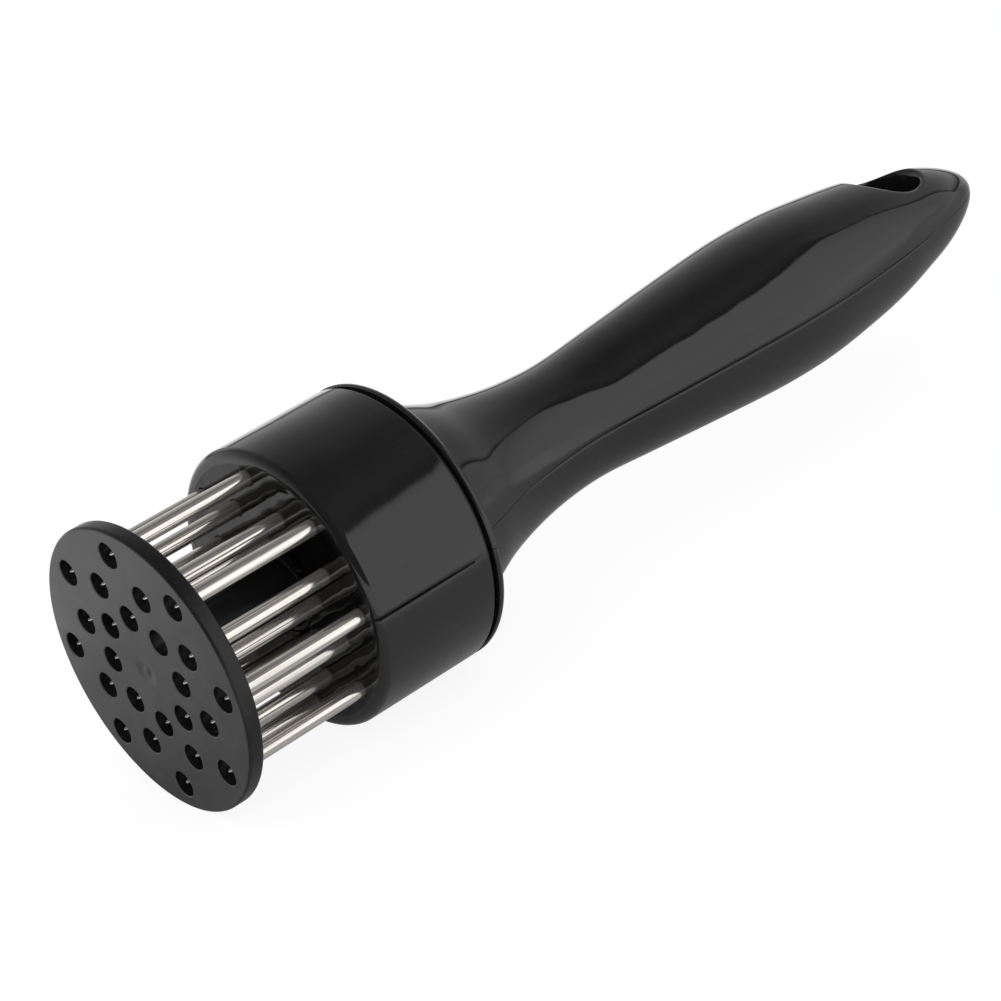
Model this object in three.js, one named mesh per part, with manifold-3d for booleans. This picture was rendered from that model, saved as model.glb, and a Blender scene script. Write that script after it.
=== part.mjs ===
// Needle meat tenderizer with a spring guard, built as the real tool comes apart.
// Millimetres, +Z up. +Y runs along the tool's axis from the guard disc to the handle tip.
// The origin is the centre of the guard disc's front face. The tool lies on its side, as it is laid down,
// on the rims of the guard disc, the drum and the flange. The hanging hole runs along Z.

import * as THREE from 'three';
import { mergeVertices } from 'three/addons/utils/BufferGeometryUtils.js';
import Module from 'manifold-3d';

const wasm = await Module();
wasm.setup();

// Facets of round pieces. Counts, not lengths.
const headSegments = 32;
const plateSegments = 24;
const turnedSegments = 16;
const hollowSegments = 16;
const guardHoleSegments = 12;
const boreSegments = 10;
const pinSegments = 8;
const hiddenBoreSegments = 8;
const mouthSegments = 20;
const edgeSteps = 2;
const outlineSteps = 18;
const hollowSteps = 9;

// Clearances
const seatGap = 0.3;
const slideGap = 0.3;
const needleGap = 0.42;
const guardHoleGap = 0.92;
const plateGap = 0.35;
const seamGap = 0.1;
const overrun = 2;

// Head: guard disc, drum and flange share one outer radius
const headRadius = 26;
const discThickness = 3;
const discEdgeRadius = 0.6;
const discSocketDepth = 1.8;
const guardTravel = 25;
const stopGap = 0.5;

// Needles
const needleRadius = 1.43;
const needleHeadRadius = 1.95;
const needleHeadThickness = 1.4;
const needlePointLength = 4.2;
const pointRecess = 0.5;
const needlesPerRing = 8;
// The second hole of the inner ring has no needle
const emptyHole = 1;

// Drum
const drumLength = 24.4;
const drumWall = 1.8;
const drumFrontWall = 3;
const drumEdgeRadius = 1.6;
const drumDraft = 0.1;
const jointGroove = 1.15;
const jointGrooveDepth = 1;
const snapBeadHeight = 0.7;
const snapBeadWidth = 2;

// Plates and their screws
const needlePlateThickness = 6;
const needlePlateOuterWeb = 0.76;
const needlePlateInnerWeb = 0.47;
const backingPlateThickness = 2;
const screwBossWall = 0.5;
const screwBossHeight = 3;
const screwRadius = 1.25;
const screwHeadRadius = 2.4;
const screwHeadThickness = 1.8;
const screwSocketRadius = 1.2;
const screwSocketDepth = 1;
const screwPointLength = 0.9;
const plateScrewBite = 3.3;
const mountScrewBite = 6.5;
const screwTipGap = 0.7;
const screwCount = 4;

// Plunger, its bush, clip and guide rod
const plungerRadius = 6.25;
const plungerTail = 2;
const plungerGrooveDepth = 0.9;
const bushWall = 0.8;
const bushFlangeRadius = 9.3;
const bushFlangeThickness = 1.5;
const clipRadius = 8.3;
const clipThickness = 3;
const clipSlotWidth = 3.2;
const rodRadius = 2.5;
const rodHeadRadius = 4.4;
const rodHeadThickness = 1.8;
const rodEngagement = 4.2;
const rodPointLength = 1;

// Return spring and its seat
const springRadius = 7.4;
const springWireRadius = 0.6;
const springCoils = 9;
const springSides = 5;
const stepsPerCoil = 8;
const seatThickness = 5;
const seatLipHeight = 1.2;
const seatLipRadius = 5.6;
const ledgeThickness = 2.6;

// Mounting plate
const mountPlateThickness = 2.8;
const collarWall = 3.6;
const passageGap = 1;
const mountBossWall = 1.45;
const mountBossHeight = 8;

// Handle
const flangeThickness = 1.45;
const flangeEdgeRadius = 0.4;
const flangeWall = 3.2;
const rootFilletRadius = 4;
const gripLength = 149.6;
const bellyRadius = 15.28;
const shellWall = 2.2;
const pegRadius = 1.6;
const pegHeight = 3.6;
const pegBossRadius = 3.2;

// Hanging hole: a round bore along Z with a flared mouth in each half
const hangHoleRadius = 6.4;
const hangMouthZ = 7.7;
const hangMouthAngle = Math.PI / 6;

// Shares of the sizes above: where the rings, screws and grip stations lie
const middleRingShare = 0.52;
const mountCircleShare = 0.45;
const collarDepthShare = 0.72;
const neckShares = [0.264, 0.764];
const hangHoleShare = 0.86;
const hollowEndShare = 0.93;
const pegShares = [0.4, 0.69];

// Trumpet root: share of the grip's length, share of the way out from the neck's radius to the head's
const rootShare = 0.54;
const flareShares = [
  [0.057, 0.421],
  [0.084, 0.306],
  [0.137, 0.144],
  [0.19, 0.046],
];

// Grip outline: share of the grip's length, share of the belly's radius
const gripShares = [
  neckShares,
  [0.378, 0.847],
  [0.498, 0.944],
  [0.618, 1],
  [0.699, 0.961],
  [0.779, 0.869],
  [0.859, 0.705],
  [0.912, 0.573],
  [0.952, 0.42],
  [0.983, 0.245],
  [1, 0],
];

// Places along the axis, from the guard disc to the handle
const drumFrontY = discThickness + guardTravel + stopGap;
const drumWallY = drumFrontY + drumFrontWall;
const needlePlateY = drumWallY + seatGap;
const needlePlateEndY = needlePlateY + needlePlateThickness;
const needleHeadY = needlePlateEndY + seatGap;
const backingPlateY = needleHeadY + needleHeadThickness + seatGap;
const backingPlateEndY = backingPlateY + backingPlateThickness;
const bushFlangeY = backingPlateEndY + seatGap;
const bushEndY = bushFlangeY + bushFlangeThickness;
const clipY = bushEndY + seatGap;
const clipEndY = clipY + clipThickness;
const plungerGrooveEndY = clipEndY + seatGap;
const plungerEndY = plungerGrooveEndY + plungerTail;
const drumEndY = drumFrontY + drumLength;
const mountRimY = drumEndY + seatGap;
const mountPlateEndY = drumEndY + jointGroove - seatGap;
const mountPlateY = mountPlateEndY - mountPlateThickness;
const collarLength = collarDepthShare * (drumEndY - backingPlateEndY);
const collarY = mountRimY - collarLength;
const snapBeadY = collarY + snapBeadWidth;
const flangeY = drumEndY + jointGroove;
const flangeEndY = flangeY + flangeThickness;
const gripTopY = flangeEndY + gripLength;
const hollowY = flangeY + flangeWall;
const seatY = flangeEndY + neckShares[0] * gripLength;
const seatEndY = seatY + seatThickness;
const ledgeY = seatEndY + seatGap;
const ledgeEndY = ledgeY + ledgeThickness;
const hollowEndY = flangeEndY + hollowEndShare * gripLength;
const hangHoleY = flangeEndY + hangHoleShare * gripLength;

// Radii that follow from the fits
const drumBore = headRadius - drumWall;
const plateRadius = drumBore - plateGap;
const plateBoreRadius = needleRadius + slideGap;
const wallBoreRadius = needleRadius + needleGap;
const guardHoleRadius = needleRadius + guardHoleGap;
const outerRingRadius = plateRadius - needlePlateOuterWeb - plateBoreRadius;
const bushBore = plungerRadius + slideGap;
const bushRadius = bushBore + bushWall;
const bushHoleRadius = bushRadius + slideGap;
const innerRingRadius = bushHoleRadius + needlePlateInnerWeb + plateBoreRadius;
const middleRingRadius = innerRingRadius + middleRingShare * (outerRingRadius - innerRingRadius);
const passageRadius = clipRadius + passageGap;
const collarRadius = drumBore - plateGap;
const collarBore = collarRadius - collarWall;
const snapBeadRadius = drumBore + snapBeadHeight - seatGap;
const plungerBore = rodRadius + slideGap;
const screwBore = screwRadius + slideGap;
const screwBossRadius = screwBore + screwBossWall;
const plateScrewCircle = (innerRingRadius + outerRingRadius) / 2;
const mountScrewCircle = passageRadius + mountCircleShare * (collarBore - passageRadius);
const mountBossRadius = screwBore + mountBossWall;
const neckRadius = neckShares[1] * bellyRadius;
const seatRadius = neckRadius - shellWall - plateGap;

const materials = {
  blackGloss: { color: 0x0c0c0d, roughness: 0.16, metalness: 0 },
  blackSatin: { color: 0x1b1b1c, roughness: 0.42, metalness: 0 },
  steel: { color: 0xc9cbcd, roughness: 0.16, metalness: 1 },
  zincSteel: { color: 0xa9abad, roughness: 0.35, metalness: 1 },
  springSteel: { color: 0x8c8e90, roughness: 0.3, metalness: 1 },
  whitePlastic: { color: 0xd8d8d4, roughness: 0.4, metalness: 0 },
};

const tenderizer = new THREE.Group();

function addPart(name, geometry, material) {
  const mesh = new THREE.Mesh(geometry, new THREE.MeshStandardMaterial(materials[material]));
  mesh.name = name;
  tenderizer.add(mesh);
}

// Closed mesh to solid, and back again
function solidOf(geometry) {
  const bare = geometry.clone();
  bare.deleteAttribute('normal');
  bare.deleteAttribute('uv');
  const merged = mergeVertices(bare);
  const mesh = new wasm.Mesh({
    numProp: 3,
    vertProperties: new Float32Array(merged.attributes.position.array),
    triVerts: new Uint32Array(merged.index.array),
  });
  return new wasm.Manifold(mesh);
}

function geometryOf(solid) {
  const mesh = solid.getMesh();
  const geometry = new THREE.BufferGeometry();
  geometry.setAttribute('position', new THREE.BufferAttribute(new Float32Array(mesh.vertProperties), 3));
  geometry.setIndex(new THREE.BufferAttribute(new Uint32Array(mesh.triVerts), 1));
  geometry.computeVertexNormals();
  return geometry;
}

function cutAll(solid, tools) {
  return tools.reduce((rest, tool) => rest.subtract(tool), solid);
}

function joinAll(solids) {
  return solids.reduce((whole, solid) => whole.add(solid));
}

// Flats of a round piece lie on its true radius, so its corners stand a little outside.
function cornerScale(segments) {
  return 1 / Math.cos(Math.PI / segments);
}

// Revolved about the tool's axis. Rows of [radius, place along the axis], from the guard to the handle.
function turned(rows, segments) {
  const scale = cornerScale(segments);
  const points = rows.map(([radius, place]) => new THREE.Vector2(radius * scale, place));
  return new THREE.LatheGeometry(points, segments, Math.PI / segments, 2 * Math.PI);
}

// A ring's outline closes on itself.
function turnedRing(rows, segments) {
  return turned([...rows, rows[0]], segments);
}

function rod(radius, fromY, toY, segments) {
  return turned([[0, fromY], [radius, fromY], [radius, toY], [0, toY]], segments);
}

function rodAt(place, radius, fromY, toY, segments) {
  return rod(radius, fromY, toY, segments).translate(place.x, 0, place.z);
}

// Rounded corner between two faces of a revolved outline, as rows
function roundedCorner(centreRadius, centreY, radius, fromAngle, toAngle) {
  const rows = [];
  for (let step = 0; step <= edgeSteps; step += 1) {
    const angle = fromAngle + (step / edgeSteps) * (toAngle - fromAngle);
    rows.push([centreRadius + radius * Math.cos(angle), centreY + radius * Math.sin(angle)]);
  }
  return rows;
}

// Places round the axis. Angle zero is the hanging hole's direction, +Z.
function circlePlaces(radius, count, startShare) {
  const places = [];
  for (let index = 0; index < count; index += 1) {
    const angle = ((index + startShare) / count) * 2 * Math.PI;
    places.push({ x: radius * Math.sin(angle), z: radius * Math.cos(angle) });
  }
  return places;
}

const needlePlaces = [
  ...circlePlaces(innerRingRadius, needlesPerRing, 0),
  ...circlePlaces(middleRingRadius, needlesPerRing, 1 / 2),
  ...circlePlaces(outerRingRadius, needlesPerRing, 0),
];
const plateScrewPlaces = circlePlaces(plateScrewCircle, screwCount, 0);
const mountScrewPlaces = circlePlaces(mountScrewCircle, screwCount, 1 / 2);

function needleBores(radius, fromY, toY, segments) {
  return needlePlaces.map((place) => solidOf(rodAt(place, radius, fromY, toY, segments)));
}

function bores(places, radius, fromY, toY) {
  return places.map((place) => solidOf(rodAt(place, radius, fromY, toY, boreSegments)));
}

// Guard disc: 24 holes for the needles, and a blind socket behind for the plunger
function guardDisc() {
  const inner = headRadius - discEdgeRadius;
  const quarter = Math.PI / 2;
  const blank = turned([
    [0, 0],
    ...roundedCorner(inner, discEdgeRadius, discEdgeRadius, -quarter, 0),
    ...roundedCorner(inner, discThickness - discEdgeRadius, discEdgeRadius, 0, quarter),
    [0, discThickness],
  ], headSegments);
  const socketY = discThickness - discSocketDepth;
  const socket = solidOf(rod(plungerRadius + slideGap, socketY, discThickness + overrun, turnedSegments));
  const holes = needleBores(guardHoleRadius, -overrun, discThickness + overrun, guardHoleSegments);
  return geometryOf(cutAll(solidOf(blank), [socket, ...holes]));
}

// Plunger: hollow from behind for the guide rod, with a groove for its clip
function guardPlunger() {
  const frontY = discThickness - discSocketDepth + seatGap;
  const boreY = plungerEndY - guardTravel - rodEngagement - stopGap - screwTipGap;
  const grooveRadius = plungerRadius - plungerGrooveDepth;
  const grooveY = clipY - seatGap;
  return turned([
    [0, frontY],
    [plungerRadius, frontY],
    [plungerRadius, grooveY],
    [grooveRadius, grooveY],
    [grooveRadius, plungerGrooveEndY],
    [plungerRadius, plungerGrooveEndY],
    [plungerRadius, plungerEndY],
    [plungerBore, plungerEndY],
    [plungerBore, boreY],
    [0, boreY],
  ], turnedSegments);
}

// Open clip ring in the plunger's groove: it stops the guard at the bush
function plungerClip() {
  const bore = plungerRadius - plungerGrooveDepth + slideGap;
  const outline = [[bore, clipY], [clipRadius, clipY], [clipRadius, clipEndY], [bore, clipEndY]];
  const ring = turnedRing(outline, turnedSegments);
  const slot = new THREE.BoxGeometry(clipSlotWidth, clipThickness + overrun, clipRadius + overrun);
  slot.translate(0, (clipY + clipEndY) / 2, -(clipRadius + overrun) / 2);
  return geometryOf(solidOf(ring).subtract(solidOf(slot)));
}

// Sleeve for the plunger, through the front wall and both plates, with its flange behind them
function guideBush() {
  return turnedRing([
    [bushBore, drumFrontY],
    [bushRadius, drumFrontY],
    [bushRadius, bushFlangeY],
    [bushFlangeRadius, bushFlangeY],
    [bushFlangeRadius, bushEndY],
    [bushBore, bushEndY],
  ], turnedSegments);
}

// Needle: ground point, straight shank and an upset head behind the needle plate
function needle(place) {
  const geometry = turned([
    [0, pointRecess],
    [needleRadius, pointRecess + needlePointLength],
    [needleRadius, needleHeadY],
    [needleHeadRadius, needleHeadY],
    [needleHeadRadius, needleHeadY + needleHeadThickness],
    [0, needleHeadY + needleHeadThickness],
  ], pinSegments);
  return geometry.translate(place.x, 0, place.z);
}

// Drum: front wall with the needle holes, bosses behind it, and a snap groove inside its open end
function needleHousing() {
  const quarter = Math.PI / 2;
  const grooveY = snapBeadY - seatGap;
  const grooveEndY = snapBeadY + snapBeadWidth + seatGap;
  const grooveRadius = drumBore + snapBeadHeight;
  const edgeCentre = headRadius - drumDraft - drumEdgeRadius;
  const blank = turnedRing([
    [bushHoleRadius, drumFrontY],
    ...roundedCorner(edgeCentre, drumFrontY + drumEdgeRadius, drumEdgeRadius, -quarter, 0),
    [headRadius, drumEndY],
    [drumBore, drumEndY],
    [drumBore, grooveEndY],
    [grooveRadius, grooveEndY],
    [grooveRadius, grooveY],
    [drumBore, grooveY],
    [drumBore, drumWallY],
    [bushHoleRadius, drumWallY],
  ], headSegments);
  const bossEndY = drumWallY + screwBossHeight;
  const bosses = bores(plateScrewPlaces, screwBossRadius, drumWallY - drumFrontWall / 2, bossEndY);
  const pilotY = backingPlateEndY + seatGap - plateScrewLength() - screwTipGap;
  const pilots = bores(plateScrewPlaces, screwBore, pilotY, bossEndY + overrun);
  const holes = needleBores(wallBoreRadius, drumFrontY - overrun, bossEndY + overrun, boreSegments);
  return geometryOf(cutAll(joinAll([solidOf(blank), ...bosses]), [...pilots, ...holes]));
}

// Needle plate: holds the shanks, with pockets in front for the housing's bosses
function needlePlate() {
  const blank = turnedRing([
    [bushHoleRadius, needlePlateY],
    [plateRadius, needlePlateY],
    [plateRadius, needlePlateEndY],
    [bushHoleRadius, needlePlateEndY],
  ], plateSegments);
  const pocketEndY = drumWallY + screwBossHeight + seatGap;
  const fromY = needlePlateY - overrun;
  const toY = needlePlateEndY + overrun;
  const pockets = bores(plateScrewPlaces, screwBossRadius + slideGap, fromY, pocketEndY);
  const screwHoles = bores(plateScrewPlaces, screwBore, fromY, toY);
  const holes = needleBores(plateBoreRadius, fromY, toY, hiddenBoreSegments);
  return geometryOf(cutAll(solidOf(blank), [...pockets, ...screwHoles, ...holes]));
}

// Backing plate: closes the needle heads in
function backingPlate() {
  const blank = turnedRing([
    [bushHoleRadius, backingPlateY],
    [plateRadius, backingPlateY],
    [plateRadius, backingPlateEndY],
    [bushHoleRadius, backingPlateEndY],
  ], plateSegments);
  const screwHoles = bores(plateScrewPlaces, screwBore, backingPlateY - overrun, backingPlateEndY + overrun);
  return geometryOf(cutAll(solidOf(blank), screwHoles));
}

function plateScrewLength() {
  return backingPlateEndY + seatGap - drumWallY - screwBossHeight + plateScrewBite;
}

function mountScrewLength() {
  return mountPlateThickness + seatGap + mountScrewBite;
}

// Screw along the axis: the face under its head is at headSeatY, and it points to the side given
function screw(place, headSeatY, length, side) {
  const outline = [
    [0, length],
    [screwRadius - screwPointLength, length],
    [screwRadius, length - screwPointLength],
    [screwRadius, 0],
    [screwHeadRadius, 0],
    [screwHeadRadius, -screwHeadThickness],
    [screwSocketRadius, -screwHeadThickness],
    [screwSocketRadius, -screwHeadThickness + screwSocketDepth],
    [0, -screwHeadThickness + screwSocketDepth],
  ];
  const rows = outline.map(([radius, depth]) => [radius, headSeatY + side * depth]);
  if (side > 0) {
    rows.reverse();
  }
  return turned(rows, pinSegments).translate(place.x, 0, place.z);
}

// Mounting plate: a plate that the handle halves are screwed to, and a collar that the drum snaps over
function mountingPlate() {
  const rimRadius = headRadius - jointGrooveDepth;
  const blank = turnedRing([
    [passageRadius, mountPlateY],
    [collarBore, mountPlateY],
    [collarBore, collarY],
    [collarRadius, collarY],
    [collarRadius, snapBeadY],
    [snapBeadRadius, snapBeadY + snapBeadWidth / 2],
    [collarRadius, snapBeadY + snapBeadWidth],
    [collarRadius, mountRimY],
    [rimRadius, mountRimY],
    [rimRadius, mountPlateEndY],
    [passageRadius, mountPlateEndY],
  ], plateSegments);
  const holes = bores(mountScrewPlaces, screwBore, mountPlateY - overrun, mountPlateEndY + overrun);
  return geometryOf(cutAll(solidOf(blank), holes));
}

// Coil of the return spring
class Coil extends THREE.Curve {
  constructor(radius, fromY, toY, turns) {
    super();
    this.radius = radius;
    this.fromY = fromY;
    this.toY = toY;
    this.turns = turns;
  }

  getPoint(share, target = new THREE.Vector3()) {
    const angle = share * this.turns * 2 * Math.PI;
    const y = this.fromY + share * (this.toY - this.fromY);
    return target.set(this.radius * Math.sin(angle), y, this.radius * Math.cos(angle));
  }
}

// Round section for an extrusion along a path
function wireSection(radius, sides) {
  const points = [];
  for (let side = 0; side < sides; side += 1) {
    const angle = (side / sides) * 2 * Math.PI;
    points.push(new THREE.Vector2(radius * Math.cos(angle), radius * Math.sin(angle)));
  }
  return new THREE.Shape(points);
}

function returnSpring() {
  const endRoom = springWireRadius + seatGap;
  const path = new Coil(springRadius, clipEndY + endRoom, seatY - endRoom, springCoils);
  const geometry = new THREE.ExtrudeGeometry(wireSection(springWireRadius, springSides), {
    steps: springCoils * stepsPerCoil,
    extrudePath: path,
    bevelEnabled: false,
  });
  return geometryOf(solidOf(geometry));
}

// Guide rod: pin inside the spring, its head held behind the spring seat
function guideRod() {
  const tipY = plungerEndY - rodEngagement;
  const headEndY = seatEndY - seatGap;
  const headY = headEndY - rodHeadThickness;
  return turned([
    [0, tipY],
    [rodRadius - rodPointLength, tipY],
    [rodRadius, tipY + rodPointLength],
    [rodRadius, headY],
    [rodHeadRadius, headY],
    [rodHeadRadius, headEndY],
    [0, headEndY],
  ], turnedSegments);
}

// Spring seat: a cup with a lip that centres the spring, and a recess behind for the rod's head
function springSeat() {
  const bore = rodRadius + slideGap;
  const recess = rodHeadRadius + slideGap;
  const recessY = seatEndY - seatGap - rodHeadThickness - seatGap;
  return turnedRing([
    [bore, seatY - seatLipHeight],
    [seatLipRadius, seatY - seatLipHeight],
    [seatLipRadius, seatY],
    [seatRadius, seatY],
    [seatRadius, seatEndY],
    [recess, seatEndY],
    [recess, recessY],
    [bore, recessY],
  ], turnedSegments);
}

function gripPlace(along) {
  return flangeEndY + gripLength * along;
}

function flareRadius(rise) {
  return neckRadius + rise * (headRadius - neckRadius);
}

// Grip outline from the trumpet root to the tip
const gripCurve = new THREE.SplineCurve([
  new THREE.Vector2(flareRadius(rootShare), flangeEndY + rootFilletRadius),
  ...flareShares.map(([along, rise]) => new THREE.Vector2(flareRadius(rise), gripPlace(along))),
  ...gripShares.map(([along, across]) => new THREE.Vector2(bellyRadius * across, gripPlace(along))),
]);

function gripRadiusAt(place) {
  let low = 0;
  let high = 1;
  for (let step = 0; step < 40; step += 1) {
    const middle = (low + high) / 2;
    if (gripCurve.getPoint(middle).y < place) {
      low = middle;
    } else {
      high = middle;
    }
  }
  return gripCurve.getPoint(low).x;
}

function handleOutline() {
  const quarter = Math.PI / 2;
  const edge = headRadius - flangeEdgeRadius;
  const rootX = flareRadius(rootShare) + rootFilletRadius;
  const rootY = flangeEndY + rootFilletRadius;
  const rows = [
    [0, flangeY],
    ...roundedCorner(edge, flangeY + flangeEdgeRadius, flangeEdgeRadius, -quarter, 0),
    ...roundedCorner(edge, flangeEndY - flangeEdgeRadius, flangeEdgeRadius, 0, quarter),
    ...roundedCorner(rootX, rootY, rootFilletRadius, -quarter, -2 * quarter),
  ];
  for (let step = 1; step <= outlineSteps; step += 1) {
    const point = gripCurve.getPoint(step / outlineSteps);
    rows.push([Math.max(point.x, 0), point.y]);
  }
  rows[rows.length - 1][0] = 0;
  return rows;
}

// Hollow between two places of the grip, a wall's thickness inside the outline
function gripHollow(fromY, toY) {
  const rows = [[0, fromY]];
  for (let step = 0; step <= hollowSteps; step += 1) {
    const place = fromY + (step / hollowSteps) * (toY - fromY);
    rows.push([gripRadiusAt(place) - shellWall, place]);
  }
  rows.push([0, toY]);
  return solidOf(turned(rows, hollowSegments));
}

// Round piece across the grip, along Z, with a radius at each end
function crossPiece(place, fromZ, toZ, fromRadius, toRadius, segments) {
  const piece = new THREE.CylinderGeometry(toRadius, fromRadius, toZ - fromZ, segments);
  piece.rotateX(Math.PI / 2);
  piece.translate(0, place, (fromZ + toZ) / 2);
  return solidOf(piece);
}

// Bore of the hanging hole, and the flared mouth on each side of it
function hangHole() {
  const reach = bellyRadius + overrun;
  const mouthRadius = hangHoleRadius + (reach - hangMouthZ) * Math.tan(hangMouthAngle);
  return [
    crossPiece(hangHoleY, -reach, reach, hangHoleRadius, hangHoleRadius, mouthSegments),
    crossPiece(hangHoleY, hangMouthZ, reach, hangHoleRadius, mouthRadius, mouthSegments),
    crossPiece(hangHoleY, -reach, -hangMouthZ, mouthRadius, hangHoleRadius, mouthSegments),
  ];
}

// Bosses, pegs or sockets that line the two halves up
function locators(radius, fromZ, toZ) {
  return pegShares.map((share) => {
    return crossPiece(gripPlace(share), fromZ, toZ, radius, radius, boreSegments);
  });
}

// The whole handle before it is split: walls, ledge for the spring seat, bosses, passage and hanging hole
function wholeHandle() {
  const outline = solidOf(turned(handleOutline(), headSegments));
  const hollows = [gripHollow(hollowY, ledgeY), gripHollow(ledgeEndY, hollowEndY)];
  const passage = solidOf(rod(passageRadius, flangeY - overrun, hollowY + overrun, turnedSegments));
  const walls = cutAll(outline, [...hollows, passage]);
  const sleeveRadius = hangHoleRadius + shellWall;
  const bosses = [
    ...bores(mountScrewPlaces, mountBossRadius, flangeY, hollowY + mountBossHeight),
    ...locators(pegBossRadius, -bellyRadius, bellyRadius),
    crossPiece(hangHoleY, -bellyRadius, bellyRadius, sleeveRadius, sleeveRadius, mouthSegments),
  ];
  const pilotEndY = flangeY + mountScrewBite + screwTipGap;
  const pilots = bores(mountScrewPlaces, screwBore, flangeY - overrun, pilotEndY);
  return cutAll(walls.add(joinAll(bosses).intersect(outline)), [...pilots, ...hangHole()]);
}

// Half space on one side of the seam
function halfSpace(side) {
  const depth = headRadius + overrun;
  const box = new THREE.BoxGeometry(2 * depth, gripTopY + overrun, depth);
  box.translate(0, (gripTopY + overrun) / 2, (side * (depth + seamGap)) / 2);
  return solidOf(box);
}

const handle = wholeHandle();

function handleShellTop() {
  const sockets = locators(pegRadius + slideGap, -overrun, pegHeight + seatGap);
  return geometryOf(cutAll(handle.intersect(halfSpace(1)), sockets));
}

function handleShellBottom() {
  const pegs = locators(pegRadius, -pegHeight, pegHeight);
  return geometryOf(joinAll([handle.intersect(halfSpace(-1)), ...pegs]));
}

addPart('needle_guard', guardDisc(), 'blackSatin');
addPart('guard_plunger', guardPlunger(), 'blackSatin');
addPart('plunger_clip', plungerClip(), 'zincSteel');
addPart('guide_bush', guideBush(), 'whitePlastic');
addPart('return_spring', returnSpring(), 'springSteel');
addPart('guide_rod', guideRod(), 'steel');
addPart('spring_seat', springSeat(), 'whitePlastic');
addPart('needle_housing', needleHousing(), 'blackGloss');
addPart('needle_plate', needlePlate(), 'whitePlastic');
addPart('backing_plate', backingPlate(), 'zincSteel');
addPart('mounting_plate', mountingPlate(), 'blackSatin');
addPart('handle_shell_top', handleShellTop(), 'blackGloss');
addPart('handle_shell_bottom', handleShellBottom(), 'blackGloss');

// Each needle has the number of its hole
needlePlaces.forEach((place, index) => {
  if (index !== emptyHole) {
    addPart(`needle_${String(index + 1).padStart(2, '0')}`, needle(place), 'steel');
  }
});

plateScrewPlaces.forEach((place, index) => {
  const geometry = screw(place, backingPlateEndY + seatGap, plateScrewLength(), -1);
  addPart(`plate_screw_${index + 1}`, geometry, 'zincSteel');
});

mountScrewPlaces.forEach((place, index) => {
  const geometry = screw(place, mountPlateY - seatGap, mountScrewLength(), 1);
  addPart(`mount_screw_${index + 1}`, geometry, 'zincSteel');
});

export default tenderizer;
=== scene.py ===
import math
from bisect import bisect_right
from functools import cache

import bmesh
import bpy
from bpy.props import FloatProperty, FloatVectorProperty, PointerProperty
from mathutils import Matrix, Vector

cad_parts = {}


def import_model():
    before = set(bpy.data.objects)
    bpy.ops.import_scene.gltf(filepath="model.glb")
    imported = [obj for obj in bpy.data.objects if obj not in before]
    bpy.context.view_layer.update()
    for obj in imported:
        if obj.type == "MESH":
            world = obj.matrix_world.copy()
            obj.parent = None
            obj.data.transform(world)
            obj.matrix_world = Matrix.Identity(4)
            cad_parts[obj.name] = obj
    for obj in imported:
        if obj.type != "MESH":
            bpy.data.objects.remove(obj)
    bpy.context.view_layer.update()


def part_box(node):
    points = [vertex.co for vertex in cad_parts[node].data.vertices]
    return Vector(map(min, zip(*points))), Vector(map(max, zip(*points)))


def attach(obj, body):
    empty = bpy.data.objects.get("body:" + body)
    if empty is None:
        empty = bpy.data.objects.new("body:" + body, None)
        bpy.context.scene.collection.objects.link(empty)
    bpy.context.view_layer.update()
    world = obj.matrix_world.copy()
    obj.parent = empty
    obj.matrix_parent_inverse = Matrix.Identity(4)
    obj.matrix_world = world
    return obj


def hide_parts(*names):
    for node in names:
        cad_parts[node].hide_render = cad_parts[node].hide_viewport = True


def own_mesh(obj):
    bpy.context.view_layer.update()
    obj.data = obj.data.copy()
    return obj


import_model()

bl_info = {
    "name": "Needle tenderizer dresser",
    "version": (1, 0, 0),
    "blender": (4, 5, 0),
    "location": "View3D > Sidebar > Tenderizer",
    "description": "Builds the visible pieces and finishes of a needle meat tenderizer over its CAD frame",
    "category": "Object",
}

# All sizes below are millimetres. Meshes are made in millimetres and scaled to metres as they are finished.
MM = 0.001


def cad_box(node):
    """Lowest and highest corner of a CAD node at rest, in millimetres."""
    low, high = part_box(node)
    return Vector(low) / MM, Vector(high) / MM


def ring_radius(node):
    """Distance of a CAD node's middle from the tool's axis."""
    low, high = cad_box(node)
    centre = (low + high) / 2
    return math.hypot(centre.x, centre.z)


# Sizes read from the frame
GUARD_LOW, GUARD_HIGH = cad_box("needle_guard")
PLUNGER_LOW, PLUNGER_HIGH = cad_box("guard_plunger")
DRUM_LOW, DRUM_HIGH = cad_box("needle_housing")
NEEDLE_LOW, NEEDLE_HIGH = cad_box("needle_01")
BUSH_LOW, BUSH_HIGH = cad_box("guide_bush")
MOUNT_LOW, MOUNT_HIGH = cad_box("mounting_plate")
SHELL_LOW, SHELL_HIGH = cad_box("handle_shell_top")
SPRING_LOW, SPRING_HIGH = cad_box("return_spring")
NEEDLE_PLATE_LOW, NEEDLE_PLATE_HIGH = cad_box("needle_plate")
BACKING_LOW, BACKING_HIGH = cad_box("backing_plate")
SEAT_LOW, SEAT_HIGH = cad_box("spring_seat")
ROD_LOW, ROD_HIGH = cad_box("guide_rod")
CLIP_LOW, CLIP_HIGH = cad_box("plunger_clip")
PLATE_SCREW_LOW, PLATE_SCREW_HIGH = cad_box("plate_screw_1")
MOUNT_SCREW_LOW, MOUNT_SCREW_HIGH = cad_box("mount_screw_1")

HEAD_RADIUS = GUARD_HIGH.x
PLUNGER_RADIUS = PLUNGER_HIGH.x
BUSH_FLANGE_RADIUS = BUSH_HIGH.x
NEEDLE_RINGS = [ring_radius("needle_01"), ring_radius("needle_09"), ring_radius("needle_17")]
NEEDLES_PER_RING = 8
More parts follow.
